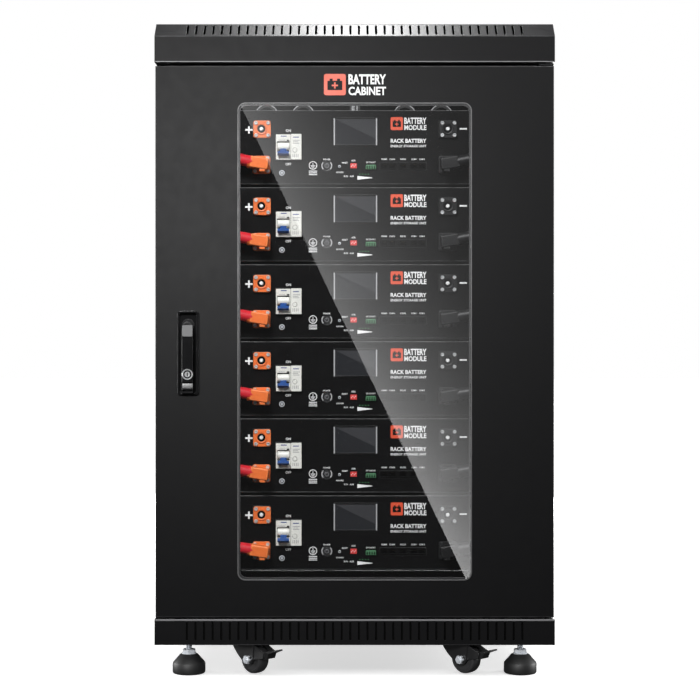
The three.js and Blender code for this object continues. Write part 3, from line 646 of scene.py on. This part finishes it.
def door():
    refined("door_panel", POWDER, "black_powder_coat", 0.4, 1.4)
    glass = refined("door_glass", GLASS, "tinted_glass", 0.5)
    glass.visible_shadow = False
    x0, x1, z0, z1 = WINDOW
    bead = [
        rounded(x0 - 1.6, x1 + 1.6, z0 - 1.6, z1 + 1.6, 13.6, 8),
        rounded(x0 + 0.2, x1 - 0.2, z0 + 0.2, z1 - 0.2, 11.8, 8),
    ]
    add("window_bead", plate(bead, DOOR_FRONT - 0.5, DOOR_FRONT - 0.02, 0.2), BEAD, "door")
    low, high = GLASS_LOW, GLASS_HIGH
    strip = [
        rounded(low.x - 3, high.x + 3, low.z - 3, high.z + 3, 6),
        rounded(x0 + 3, x1 - 3, z0 + 3, z1 - 3, 10),
    ]
    add("glass_retaining_strips", plate(strip, high.y + 0.1, high.y + 2.6, 0.3), RAIL, "door")
    spots = [(x, z) for z in (200, 380, 566, 752, 932) for x in (x0 - 2, x1 + 2)]
    spots += [(x, z) for x in (-120, 0, 120) for z in (z0 - 2, z1 + 2)]
    nuts = [screw(x, z, high.y + 2.6, 4, 3.0, "back", 0.3, 6) for x, z in spots]
    add("glass_strip_nuts", joined(*nuts), ZINC, "door")
    seal = [rounded(-334, 334, 103, 1029, 4), rounded(-326, 326, 111, 1021, 4)]
    add("door_seal", plate(seal, -304, -298.8, 0.8), RUBBER, "door", "black_rubber_foot")
    mark = DOOR_FRONT - 0.02
    add("door_mark", pictogram(-52, -15, 982.5, 1018.5, mark), INK_RED, "door")
    letters = joined(
        words("BATTERY", -10.5, 53, 1001, 1018, mark, bold=0.034),
        words("CABINET", -10.5, 53, 982.5, 997, mark, bold=0.03),
    )
    add("door_words", letters, INK_WHITE, "door", flat=False)


def swing_handle():
    refined("handle_housing", HANDLE, "black_handle_plastic", 0.7)
    refined("handle_rotor", DARK_STEEL, "zinc_plate", 0.25)
    refined("handle_lever", HANDLE, "black_handle_plastic", 0.8)
    refined("lock_cylinder", CHROME, "zinc_plate", 0.3)
    ring = [(8.0, -1), (9.1, -1), (9.1, 0.3), (8.7, 0.7), (8.3, 0.7), (8.0, 0.3)]
    ring = lathe(ring, "front", (HANDLE_X, LEVER_FRONT, LOCK_Z), 48)
    add("lock_ring", ring, CHROME, "handle_lever", flat=False)
    face = box_mm("lock_cylinder")[0].y
    # A dark ring and bar on the cylinder face; the bar paints the shade inside the key slot.
    dark = [circle(HANDLE_X, LOCK_Z, 7.0, 40), circle(HANDLE_X, LOCK_Z, 4.7)]
    keyhole_shade = joined(
        plate(dark, face - 0.12, face + 0.3, 0),
        block(HANDLE_X - 0.7, HANDLE_X + 0.7, face - 0.14, face + 0.3, LOCK_Z - 3.2, LOCK_Z + 3.2, 0.05, 1),
    )
    add("lock_keyway", keyhole_shade, SOCKET_DARK, "lock_cylinder")
    shield = [rounded(HANDLE_X - 8.6, HANDLE_X + 8.6, 0, 19.5, 1.5)]
    badge = plate(shield, -0.7, 0.3, 0.25)
    rotated(badge, -BADGE_SLOPE, "X")
    add("lever_badge", moved(badge, 0, LEVER_FRONT - 0.35, BADGE_Z), BEAD, "handle_lever")


# ---- batteries --------------------------------------------------------------------------------
def power_sockets():
    boss = [(7.0, 4), (9.9, 4), (9.9, 6.4), (9.3, 7.2), (7.9, 7.2), (7.0, 6.4)]
    for pole, sign, material, _, slot in POLES:
        x, z = sign * POLE_X, SOCKET_Z
        outline = rounded(x - 13.9, x + 16.2, z - 15.4, z + 14.3, 3.8)
        flange = joined(
            plate([outline, circle(x, z, 7.1)], -5.4, -0.05, 0.7, 2),
            lathe(boss, "front", (x, 0, z), 36),
        )
        on_every_battery(f"{pole}_socket", flange, material, slot)
        sleeve = lathe([(4.2, 1), (7.1, 1), (7.1, 6.2), (6.6, 6.6), (4.2, 6.6)], "front", (x, 0, z), 32)
        on_every_battery(f"{pole}_socket_sleeve", sleeve, SOCKET_DARK)
        pin = lathe([(0, -10), (3.2, -10), (3.2, 6.2), (2.6, 6.8), (0, 6.9)], "front", (x, 0, z), 24)
        on_every_battery(f"{pole}_socket_pin", pin, INK_WHITE, flat=False)
        heads = [screw(x + 1.2 + 10.5 * i, z - 0.5 + 10.5 * j, -5.2, 3.3, 2.2) for i, j in SQUARE_CORNERS]
        on_every_battery(f"{pole}_socket_screws", joined(*heads), CHROME)
    x, z, arm, half = -182.8, -33.9, 6.4, 1.5
    marks = joined(
        block(x - arm, x + arm, -0.3, 0.1, z - half, z + half, 0.05, 1),
        block(x - half, x + half, -0.32, 0.1, z - arm, z + arm, 0.05, 1),
        block(181.8, 194.4, -0.3, 0.1, -33.4, -30.6, 0.05, 1),
    )
    on_every_battery("pole_marks", marks, INK_WHITE)


def plug_body(sign):
    """A right-angle plug: a square flange, a barrel, and an elbow towards the side of the cabinet."""
    x, z, half = sign * POLE_X, PLUG_Z, 15.4
    barrel_x = x - sign * 2.5
    barrel = [(0, 5), (11, 5), (11, 20), (9.4, 22), (0, 22)]
    sleeve = [
        (0, 0), (10, 0), (10, 13), (9.4, 13.6), (9.4, 14.6), (10, 15.2),
        (10, 19), (10.8, 19.8), (10.8, 25), (10, 25.8), (0, 25.8),
    ]
    elbow = rotated(lathe(sleeve, OUTWARD[sign], steps=32), -sign * PLUG_TILT, "Y")
    outer, inner = sorted((sign * 18.5, -sign * 13))
    shoulder = rotated(block(outer, inner, -31, -7, -9.9, 9.9, 2.6, 3), -sign * PLUG_TILT, "Y")
    return joined(
        plate([rounded(x - half, x + half, z - half, z + half, 3.8)], -5.6, -0.3, 0.8, 2),
        lathe(barrel, "front", (barrel_x, 0, z), 36),
        moved(elbow, barrel_x, -20.5, z),
        moved(shoulder, x, 0, z + 0.8),
        block(barrel_x - 5, barrel_x + 5, -29, -6, z - 14, z - 9, 1.2),
    )


def lug_and_bolt(sign, end):
    """The far end of a lead, bolted through its busbar."""
    near, far = sorted((sign * LUG_X, sign * (LUG_X + 3.5)))
    lug = joined(
        lathe([(0, 0), (9.4, 0), (9.4, 9), (7.5, 12), (0, 12)], "back", (end[0], end[1] - 4, end[2]), 24),
        block(near, far, 28, 64, PLUG_Z - 1, PLUG_Z + 23, 0.8),
    )
    hole = (sign * LUG_X, 50, end[2])
    bolt = joined(
        lathe([(0, -1), (9, -1), (9, 1.4), (0, 1.4)], OUTWARD[-sign], hole, 28),
        lathe([(0, 1), (7.2, 1), (7.2, 5.6), (6.4, 6.4), (0, 6.4)], OUTWARD[-sign], hole, 6),
    )
    return lug, bolt


def leads():
    for pole, sign, plastic, cable, slot in POLES:
        x, z = sign * POLE_X, PLUG_Z
        heads = [screw(x + 11 * i, z + 11 * j, -5.4, 3.2, 2.4) for i, j in SQUARE_CORNERS]
        head_finish = CHROME if sign < 0 else DARK_STEEL
        route = [(sign * across, back, up + PLUG_Z) for across, back, up in LEAD_ROUTE]
        lug, bolt = lug_and_bolt(sign, route[-1])
        pieces = [
            ("plug", plug_body(sign), plastic, slot),
            ("plug_screws", joined(*heads), head_finish, None),
            ("cable", tube(route, CABLE_RADIUS), cable, None),
            ("lug", lug, ZINC, None),
            ("lug_bolt", bolt, ZINC, "zinc_plate"),
        ]
        for suffix, shape, material, piece_slot in pieces:
            on_every_battery(f"{pole}_{suffix}", shape, material, piece_slot, flat=suffix != "cable")
        for i in BATTERIES:
            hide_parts(f"{pole}_lead_{i}")


def circuit_breaker():
    z0, z1 = BREAKER_Z - BREAKER_HALF - 0.4, BREAKER_Z + BREAKER_HALF - 0.9
    x0, x1, split = BREAKER_X - BREAKER_HALF + 1.2, BREAKER_X + BREAKER_HALF + 0.4, -110.2
    slot = rounded(TOGGLE_X - 10.7, TOGGLE_X + 10.7, BREAKER_Z - 8.8, BREAKER_Z + 8.8, 0.4, 1)
    hole = circle(TEST_BUTTON_X, TEST_BUTTON_Z, 4.2, 20)
    cover = joined(
        plate([rounded(x0, split - 0.25, z0, z1 - 0.8, 1.0), slot], -6.9, -0.05, 0.5),
        plate([rounded(split + 0.25, x1, z0, z1, 1.0), hole], -7.2, -0.05, 0.5),
        plate([rounded(x0 + 2.5, split - 2.5, z1 - 9.5, z1 - 2.6, 0.8)], -7.3, -6.6, 0.2),
    )
    on_every_battery("breaker_cover", cover, BREAKER)
    profile = [(0, 5), (3.7, 5), (3.7, 7.4), (3.1, 8), (0, 8.1)]
    button = lathe(profile, "front", (TEST_BUTTON_X, 0, TEST_BUTTON_Z), 24)
    on_every_battery("breaker_test_button", button, BREAKER, flat=False)
    profile = [(0, -10.2), (6.6, -10.2), (7.3, -9.5), (7.3, 9.5), (6.6, 10.2), (0, 10.2)]
    drum = lathe(profile, "right", (TOGGLE_X, -2, BREAKER_Z), 40)
    on_every_battery("toggle_drum", drum, BREAKER, body="breaker_toggle", flat=False)


def breaker_marks():
    bars = joined(
        block(-127.4, -117.2, -7.45, -7.25, -46.4, -44.7, 0.05, 1),
        block(-106.2, -96, -7.35, -7.1, -48.1, -46.5, 0.05, 1),
    )
    on_every_battery("breaker_blue_marks", bars, INK_BLUE)
    lines = []
    for k, width in enumerate((12, 9, 11)):
        lines.append(block(-106.5, -106.5 + width, -7.35, -7.1, -53.2 - 2.6 * k, -52.3 - 2.6 * k, 0.05, 1))
        lines.append(block(-131, -131 + width, -7.05, -6.8, -49.6 - 1.6 * k, -49 - 1.6 * k, 0.05, 1))
    lines += [block(-107 + 3 * k, -106 + 3 * k, -7.35, -7.1, -82, -76, 0.05, 1) for k in range(4)]
    on_every_battery("breaker_grey_marks", joined(*lines), INK_GREY)
    on_every_battery("breaker_window", block(-117, -112.6, -7.2, -6.8, -53.8, -51.8, 0.1), SOCKET_DARK)
    labels = joined(
        words("ON", -119, -110.2, -37.5, -33.1),
        words("OFF", -119.4, -109.8, -95.4, -91.0),
    )
    on_every_battery("breaker_words", labels, INK_WHITE, flat=False)


def display():
    x0, x1, z0, z1 = -35, 38, -60.9, -13.8
    rims = [
        rounded(x0 - 1.4, x1 + 1.4, z0 - 1.2, z1 + 1.2, 1.6),
        rounded(x0 + 1.6, x1 - 1.6, z0 + 1.6, z1 - 1.6, 0.8),
    ]
    on_every_battery("display_frame", plate(rims, -1.2, 0.1, 0.3), CASE)
    screen = plate([rounded(x0 + 1.4, x1 - 1.4, z0 + 1.4, z1 - 1.4, 0.8)], -0.5, 0.1, 0)
    on_every_battery("display_screen", screen, SCREEN)
    # A lighter wedge over the top right of the screen is a painted reflection.
    sheen_wedge = [(x0 + 1.8, z1 - 1.8), (x1 - 1.8, z1 - 1.8), (x1 - 1.8, z0 + 12)]
    on_every_battery("display_film", plate([sheen_wedge], -0.6, -0.45, 0), SCREEN_PAINTED_SHEEN)
    trims = [block(x - 1.1, x + 1.1, -1.7, 0.1, z0 + 0.5, z1 - 0.5, 0.4) for x in (x0, x1)]
    on_every_battery("display_side_trims", joined(*trims), TRIM)


def power_button():
    bezel = [(7.1, 0), (9.6, 0), (9.6, 0.6), (9.2, 1), (7.6, 1), (7.1, 0.6)]
    bezel = lathe(bezel, "front", (BUTTON_X, 0, BUTTON_Z), 40)
    on_every_battery("button_bezel", bezel, BUTTON, flat=False)
    arcs = []
    for middle in (0, math.pi):
        angles = [middle + math.radians(9 * k) for k in range(-5, 6)]
        spots = [(9.4, a) for a in angles] + [(7.5, a) for a in reversed(angles)]
        outline = [(BUTTON_X + r * math.cos(a), BUTTON_Z + r * math.sin(a)) for r, a in spots]
        arcs.append(plate([outline], -1.5, -0.9, 0.1))
    on_every_battery("button_side_arcs", joined(*arcs), TRIM)
    symbol = joined(
        plate([circle(BUTTON_X, BUTTON_Z, 3.6), circle(BUTTON_X, BUTTON_Z, 2.9)], -3.3, -2.9, 0),
        block(BUTTON_X - 0.4, BUTTON_X + 0.4, -3.35, -2.9, BUTTON_Z + 0.4, BUTTON_Z + 4.2, 0.05, 1),
    )
    on_every_battery("button_symbol", symbol, INK_GREY, body="power_button")
    label = words("POWER", -54.2, -41.8, -86.4, -83.7, fine=2)
    on_every_battery("button_words", label, INK_WHITE, flat=False)


def ports():
    centres = (51.5, 65, 84, 102.9, 116.7)
    half_wide, low, high = 5.4, PORT_Z - 4.6, PORT_Z + 4.6
    holes = [rounded(x - half_wide, x + half_wide, low, high, 0.5, 1) for x in centres]
    rim = rounded(43.2, 124.4, PORT_Z - 7.2, PORT_Z + 7.2, 1.2)
    on_every_battery("port_faceplate", plate([rim, *holes], -0.9, -0.05, 0.2), CASE)
    liners = []
    contacts = []
    for x in centres:
        outside = rounded(x - half_wide - 0.8, x + half_wide + 0.8, low - 0.6, high + 0.6, 0.4, 1)
        inside = rounded(x - half_wide + 0.3, x + half_wide - 0.3, low + 0.3, high - 0.3, 0.3, 1)
        liners.append(plate([outside, inside], -1.3, 9.5, 0.2))
        liners.append(block(x - half_wide, x + half_wide, 8.5, 10, low, high, 0.2, 1))
        liners.append(block(x - 2.2, x + 2.2, -0.6, 8, low - 0.3, low + 1.4, 0.2, 1))
        for k in range(8):
            start = x - 3.6 + k
            contacts.append(block(start, start + 0.3, 1.5, 8.6, high - 2.2, high - 1.7, 0.05, 1))
    on_every_battery("port_liners", joined(*liners), SOCKET_DARK)
    on_every_battery("port_contacts", joined(*contacts), GOLD)
    names = ("RS485", "CAN", "RS232", "COM 1", "COM 2")
    labels = [words(text, x - 4.8, x + 4.8, -86.0, -83.3, fine=2) for text, x in zip(names, centres)]
    on_every_battery("port_words", joined(*labels), INK_WHITE, flat=False)


def address_switch():
    on_every_battery("address_switch", block(-7.2, 3.9, -2.2, 0.1, -100.5, -91.9, 0.4), DIP_RED)
    sliders = []
    for k, z in enumerate((-98, -96, -98, -96)):
        sliders.append(block(-6 + 2.4 * k, -4.8 + 2.4 * k, -2.7, -2.1, z, z + 2, 0.15, 1))
    on_every_battery("address_sliders", joined(*sliders), INK_WHITE)


def dry_contact():
    terminal = joined(
        block(19.4, 36.9, -5.0, 0.1, -102.2, -95.8, 0.5),
        block(20.2, 36.1, -3.4, 0.1, -96, -94.4, 0.3),
    )
    on_every_battery("dry_contact_terminal", terminal, TERMINAL)
    lefts = [4.2 * k for k in range(4)]
    ring = [(0, 4.6), (1.1, 4.6), (1.1, 5.25), (0, 5.25)]
    # Dark blocks and discs on the terminal paint the shade in its wire openings and screw recesses.
    slots = [block(20.7 + x, 23.0 + x, -5.2, -4.6, -101.6, -98.9, 0.1, 1) for x in lefts]
    slots += [lathe(ring, "front", (21.9 + x, 0, -97.4), 12) for x in lefts]
    on_every_battery("dry_contact_slots", joined(*slots), SOCKET_DARK)


def reset_and_screws():
    reset = [(1.2, 0), (2.4, 0), (2.4, 0.5), (2.0, 0.8), (1.2, 0.8)]
    on_every_battery("reset_hole_ring", lathe(reset, "front", (-26, 0, -97), 20), ZINC, flat=False)
    x, z = -125.7, -108.4
    washer = [(3.2, 0), (4.9, 0), (4.9, 0.5), (4.5, 0.9), (3.2, 0.9)]
    earth = joined(lathe(washer, "front", (x, 0, z), 28), screw(x, z, 0, 2.2, 1.6))
    on_every_battery("earth_screw", earth, ZINC, "zinc_plate")
    spots = [(x, z) for x in (-RACK_SCREW_X, RACK_SCREW_X) for z in (-25, -103)]
    washer = [(4.2, 0), (7.4, 0), (7.4, 1.0), (4.2, 1.0)]
    heads = [screw(x, z, -1.0, 4.6, 3.0) for x, z in spots]
    washers = [lathe(washer, "front", (x, 0, z), 28) for x, z in spots]
    on_every_battery("rack_screws", joined(*heads), ZINC, "zinc_plate")
    on_every_battery("rack_screw_washers", joined(*washers), PLUG_BLACK)


def lamps_and_symbols():
    dome = [(0, -0.2), (0.9, -0.2), (0.9, 0.3), (0.5, 0.7), (0, 0.8)]
    lamps = [lathe(dome, "front", (9 + 5 * k, 0, -110.6), 12) for k in range(4)]
    on_every_battery("charge_lamps", joined(*lamps), LED_GREEN, flat=False)
    x = EARTH_MARK_X
    symbols = [
        plate([[(4.9, -113.4), (4.9, -120.2), (30.7, -117.2), (30.7, -116.4)]], -0.28, 0.1, 0),
        plate([circle(x, -95.4, 7.2), circle(x, -95.4, 6.0)], -0.28, 0.1, 0),
        block(x - 0.5, x + 0.5, -0.28, 0.1, -95.5, -91, 0.05, 1),
    ]
    for half, z in ((4.2, -96.5), (2.8, -98.4), (1.3, -100.3)):
        symbols.append(block(x - half, x + half, -0.28, 0.1, z, z + 1, 0.05, 1))
    for z in (-105.2, -108.3, -111.4):
        symbols.append(block(x - 7.2, x + 7.2, -0.28, 0.1, z - 0.7, z + 0.7, 0.05, 1))
    on_every_battery("face_symbols", joined(*symbols), INK_WHITE)


def control_words():
    labels = (
        ("RESET", -21.8, -11.8, -92.2, -89.4),
        ("ADR", -5.6, 1.8, -88.2, -85.4),
        ("DRY CONTACT", 20, 36.4, -91.4, -88.8),
        ("ADDRESS", -32, -19, -108.5, -106),
        ("RUN", -18.4, -11.6, -115.4, -112.6),
        ("ALM", -8.4, -1.6, -115.4, -112.6),
    )
    letters = [words(*label, fine=2) for label in labels]
    on_every_battery("control_words", joined(*letters), INK_WHITE, flat=False)


def module_marks():
    on_every_battery("mark", pictogram(62.5, 83.7, -34.2, -11.9), INK_RED)
    labels = joined(
        words("BATTERY", 86, 124.4, -23.6, -12.6, bold=0.034),
        words("MODULE", 86, 124.4, -34.2, -25.5, bold=0.03),
        words("RACK BATTERY", 62.5, 124.3, -56.4, -49.3, bold=0.028),
        words("ENERGY STORAGE UNIT", 62.5, 124.3, -64, -59.8, fine=2),
    )
    on_every_battery("words", labels, INK_WHITE, flat=False)


def batteries():
    for i in BATTERIES:
        refined(f"battery_{i}", CASE, "black_case_steel", 0.35, 1.0)
        refined(f"breaker_toggle_{i}", TOGGLE, "blue_toggle_plastic", 0.6)
        refined(f"power_button_{i}", BUTTON, "black_button_plastic", 0.5)
    for part in (
        power_sockets, leads, circuit_breaker, breaker_marks, display, power_button, ports, address_switch,
        dry_contact, reset_and_screws, lamps_and_symbols, control_words, module_marks,
    ):
        part()


# ---- feet and casters -------------------------------------------------------------------------
def levelling_feet():
    pad = [(0, 0), (24, 0), (26.6, 0.8), (28, 3), (28, 17), (27, 19.5), (15.5, 32.4), (13, 33.6), (0, 33.6)]
    flange = [(0, 33.4), (12.4, 33.4), (12.4, 34.6), (11.6, 35.4), (0, 35.4)]
    nut = [(0, 35), (10.6, 35), (11.8, 36), (11.8, 40.4), (10.6, 41.4), (0, 41.4)]
    thread = [(0, 40)]
    for k in range(40):
        thread += [(4.5, 40 + 1.2 * k), (5.1, 40.6 + 1.2 * k)]
    thread.append((0, 88))
    jam_nut = joined(lathe(flange, "up", steps=40), lathe(nut, "up", steps=6))
    meshes = [
        ("pad", mesh_of("foot_pad", lathe(pad, "up", steps=56), RUBBER), "black_rubber_foot"),
        ("nut", mesh_of("foot_nut", jam_nut, ZINC), "zinc_plate"),
        ("stud", mesh_of("foot_stud", lathe(thread, "up", steps=28), ZINC), "zinc_plate"),
    ]
    for corner in CORNERS:
        node = f"levelling_foot_{corner}"
        low, high = box_mm(node)
        middle = ((low.x + high.x) / 2, (low.y + high.y) / 2, 0)
        for part, mesh, slot in meshes:
            obj = place(f"{node}_{part}", mesh, node, slot, middle, flat=part == "nut")
            if part == "pad":
                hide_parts(node)


def casters():
    tyre = [
        (4.6, -11), (9, -11), (9.6, -9.4), (18.6, -9.4), (19.6, -11), (22.8, -10.4), (24.4, -8), (25, -4),
    ]
    section = tyre + [(r, -h) for r, h in reversed(tyre)]
    wheel = mesh_of("caster_wheel", lathe(section, "right", steps=56), NYLON)
    hexagon = [(0, 0), (6.8, 0), (7.8, 1), (7.8, 5.6), (6.8, 6.6), (4.6, 6.6), (4.2, 8.2), (0, 8.2)]
    pair = [lathe(hexagon, OUTWARD[sign], (sign * 16.2, 0, 0), 6) for sign in (1, -1)]
    nuts = mesh_of("caster_nuts", joined(*pair), ZINC)
    outline = [
        (40, 34), (41, 27), (36, 17), (27, 7), (14, -4), (8, -8.5),
        (0, -10.5), (-8, -7), (-11, 0), (-13, 14), (-15, 26), (-15, 34),
    ]
    sheets = ((15.1, 16.6), (-16.6, -15.1))
    cheeks = [rotated(plate([outline], y0, y1, 0.5, 2), 90, "Z") for y0, y1 in sheets]
    hood = mesh_of("caster_hood", joined(*cheeks), CASTER)
    for corner in CORNERS:
        fork = f"caster_fork_{corner}"
        node = f"caster_wheel_{corner}"
        refined(fork, CASTER, "black_caster_steel", 0.45)
        low, high = box_mm(node)
        middle = (low + high) / 2
        yaw = CASTER_YAW[corner]
        place(f"caster_nuts_{corner}", nuts, fork, "zinc_plate", middle, yaw=yaw)
        place(f"caster_hood_{corner}", hood, fork, "black_caster_steel", middle, yaw=yaw)
        rolling = place(f"{node}_tyre", wheel, node, "black_wheel_nylon", middle, flat=False, yaw=yaw)
        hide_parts(node)
    for side, _ in SIDES:
        refined(f"brake_lever_front_{side}", CASTER, "black_caster_steel", 0.5)


# ---- stage ------------------------------------------------------------------------------------
CAMERA_AT = Vector((-0.0079, -3.33, 0.552))
CAMERA_LENS = 91.3
FLOOR_REACH = 30
SHEEN_AWAY = 1.0
SHEEN_LEFT, SHEEN_RIGHT = -0.1965, 0.2
SHEEN_SLANT_END = 0.1905
SHEEN_LOW, SHEEN_HIGH = 0.16, 0.9725


def camera():
    data = bpy.data.cameras.new("camera")
    data.sensor_width = 36
    data.lens = CAMERA_LENS
    obj = bpy.data.objects.new("camera", data)
    obj.location = CAMERA_AT
    obj.rotation_euler = (math.pi / 2, 0, 0)
    bpy.context.scene.collection.objects.link(obj)
    bpy.context.scene.camera = obj


def lamp(name, kind, at, aim, energy, **settings):
    data = bpy.data.lights.new(name, kind)
    data.energy = energy
    for key, value in settings.items():
        setattr(data, key, value)
    obj = bpy.data.objects.new(name, data)
    obj.location = at
    obj.rotation_euler = (Vector(aim) - Vector(at)).to_track_quat("-Z", "Y").to_euler()
    bpy.context.scene.collection.objects.link(obj)
    return obj


def softbox(name, at, aim, wide, tall, energy):
    return lamp(name, "AREA", at, aim, energy, shape="RECTANGLE", size=wide, size_y=tall)


def group(name, *objects):
    collection = bpy.data.collections.new(name)
    for obj in objects:
        collection.objects.link(obj)
    return collection


def world():
    """White to the camera, and dim to everything that it lights."""
    studio = bpy.data.worlds.new("studio")
    studio.use_nodes = True
    tree = studio.node_tree
    dim = tree.nodes["Background"]
    dim.inputs["Color"].default_value = (1, 1, 1, 1)
    dim.inputs["Strength"].default_value = 0.04
    white = tree.nodes.new("ShaderNodeBackground")
    white.inputs["Color"].default_value = (1, 1, 1, 1)
    path = tree.nodes.new("ShaderNodeLightPath")
    mix = tree.nodes.new("ShaderNodeMixShader")
    tree.links.new(path.outputs["Is Camera Ray"], mix.inputs["Fac"])
    tree.links.new(dim.outputs["Background"], mix.inputs[1])
    tree.links.new(white.outputs["Background"], mix.inputs[2])
    tree.links.new(mix.outputs["Shader"], tree.nodes["World Output"].inputs["Surface"])
    bpy.context.scene.world = studio


def floor():
    """A pale floor with its own even light, so that the object's shadow on it stays faint."""
    mesh = bpy.data.meshes.new("floor")
    corners = [(x, y, 0) for x, y in rectangle(-FLOOR_REACH, FLOOR_REACH, -FLOOR_REACH, FLOOR_REACH)]
    mesh.from_pydata(corners, [], [(0, 1, 2, 3)])
    material, _, shader = new_material("pale_floor")
    shader.inputs["Base Color"].default_value = (0.9, 0.9, 0.9, 1)
    shader.inputs["Roughness"].default_value = 0.9
    shader.inputs["Specular IOR Level"].default_value = 0.0
    shader.inputs["Emission Color"].default_value = (1, 1, 1, 1)
    shader.inputs["Emission Strength"].default_value = 0.45
    mesh.materials.append(material)
    obj = bpy.data.objects.new("floor", mesh)
    bpy.context.scene.collection.objects.link(obj)
    obj.visible_glossy = False
    obj.visible_diffuse = False
    obj.visible_transmission = False
    only_floor = group("only_floor", obj)
    even = lamp("floor_light", "SUN", (0, 0, 4), (0, 0, 0), 3.3, angle=math.radians(120))
    even.light_linking.receiver_collection = only_floor
    even.light_linking.blocker_collection = only_floor
    soft = lamp("floor_shadow_light", "SUN", (0, -0.5, 4), (0, 0, 0), 0.22, angle=math.radians(100))
    soft.light_linking.receiver_collection = only_floor


def glass_sheen():
    """A lit card in front of the door, with a slanted edge, that only the glass mirrors."""
    glass_y = GLASS_LOW.y * MM

    def mirrored(x, z):
        share = SHEEN_AWAY / (glass_y - CAMERA_AT.y)
        return Vector((x + (x - CAMERA_AT.x) * share, glass_y - SHEEN_AWAY, z + (z - CAMERA_AT.z) * share))

    top, low = mirrored(SHEEN_LEFT, SHEEN_HIGH), mirrored(SHEEN_SLANT_END, SHEEN_LOW)
    side, corner = mirrored(SHEEN_RIGHT, SHEEN_LOW), mirrored(SHEEN_RIGHT, SHEEN_HIGH)
    mesh = bpy.data.meshes.new("sheen_card")
    mesh.from_pydata([top, low, side, corner], [], [(0, 1, 2, 3)])
    material = bpy.data.materials.new("sheen_card")
    material.use_nodes = True
    tree = material.node_tree
    tree.nodes.clear()
    split = tree.nodes.new("ShaderNodeSeparateXYZ")
    tree.links.new(tree.nodes.new("ShaderNodeTexCoord").outputs["Object"], split.inputs["Vector"])
    x, z = split.outputs["X"], split.outputs["Z"]
    along = (low - top).normalized()
    length = (low - top).length
    across = Vector((-along.z, 0, along.x))

    def dot(direction):
        first = calculate(tree, "MULTIPLY", x, direction.x)
        second = calculate(tree, "MULTIPLY", z, direction.z)
        total = calculate(tree, "ADD", first, second)
        return calculate(tree, "SUBTRACT", total, top.dot(Vector((direction.x, 0, direction.z))))

    down = calculate(tree, "DIVIDE", dot(along), length)
    out = calculate(tree, "ABSOLUTE", dot(across), 0)
    fade = calculate(tree, "POWER", math.e, calculate(tree, "DIVIDE", out, -0.145))
    growth = calculate(tree, "MULTIPLY", calculate(tree, "POWER", down, 2.0), 2.3)
    near = calculate(tree, "ADD", 1.4, growth)
    strength = calculate(tree, "ADD", calculate(tree, "MULTIPLY", near, fade), 0.1)
    glow = tree.nodes.new("ShaderNodeEmission")
    tree.links.new(strength, glow.inputs["Strength"])
    output = tree.nodes.new("ShaderNodeOutputMaterial")
    tree.links.new(glow.outputs["Emission"], output.inputs["Surface"])
    mesh.materials.append(material)
    card = bpy.data.objects.new("sheen_card", mesh)
    bpy.context.scene.collection.objects.link(card)
    for ray in ("camera", "diffuse", "transmission", "volume_scatter", "shadow"):
        setattr(card, f"visible_{ray}", False)
    card.light_linking.receiver_collection = group("only_glass", bpy.data.objects["door_glass_shaped"])


INTERIOR = (
    "battery_", "breaker_", "power_button_", "busbar", "positive_", "negative_", "rack_rail_", "cable_",
    "handle_", "lever_", "lock_",
)


def stage():
    camera()
    world()
    floor()
    glass_sheen()
    softbox("fill", (1.0, -2.4, 1.8), (0, -0.33, 0.4), 0.9, 0.5, 10)
    softbox("top", (0.0, -0.05, 1.85), (0, -0.3, 1.1), 0.25, 0.5, 26)
    interior = [o for o in bpy.data.objects if o.name.startswith(INTERIOR)]
    unlit = [bpy.data.objects["door_glass_shaped"], bpy.data.objects["floor"], *interior]
    outside = [o for o in bpy.data.objects if o.type == "MESH" and o not in unlit]
    for side, sign in SIDES:
        softbox(f"{side}_side", (sign * 3.2, 0.4, 0.6), (0, 0, 0.6), 1.6, 0.9, 110)
    softbox("rear", (0.4, 3.4, 0.6), (0, 0, 0.6), 2.0, 0.9, 150)
    key = softbox("key", (-0.4, -2.6, 1.1), (-0.1, -0.33, 0.65), 0.8, 0.4, 48)
    key.light_linking.receiver_collection = group("only_shell", *outside)
    rim = softbox("rim", (0, -0.62, 2.5), (0, -0.4, 0.5), 1.4, 0.25, 30)
    rim.light_linking.receiver_collection = key.light_linking.receiver_collection
    below = [o for o in outside if o.name.startswith(("levelling_", "caster_", "brake_"))]
    low = softbox("low", (-0.7, -2.0, 0.3), (0, -0.3, 0.04), 0.5, 0.2, 13)
    low.light_linking.receiver_collection = group("only_feet", *below)
    inside = softbox("inside", (-0.8, -2.6, 2.6), (0, -0.25, 0.56), 0.8, 0.6, 135)
    inside.light_linking.receiver_collection = group("only_interior", *interior)
    inside.light_linking.blocker_collection = group("interior_shadows", *interior)
    bpy.context.scene.view_settings.view_transform = "Standard"


cabinet()
busbars()
door()
swing_handle()
batteries()
levelling_feet()
casters()
stage()
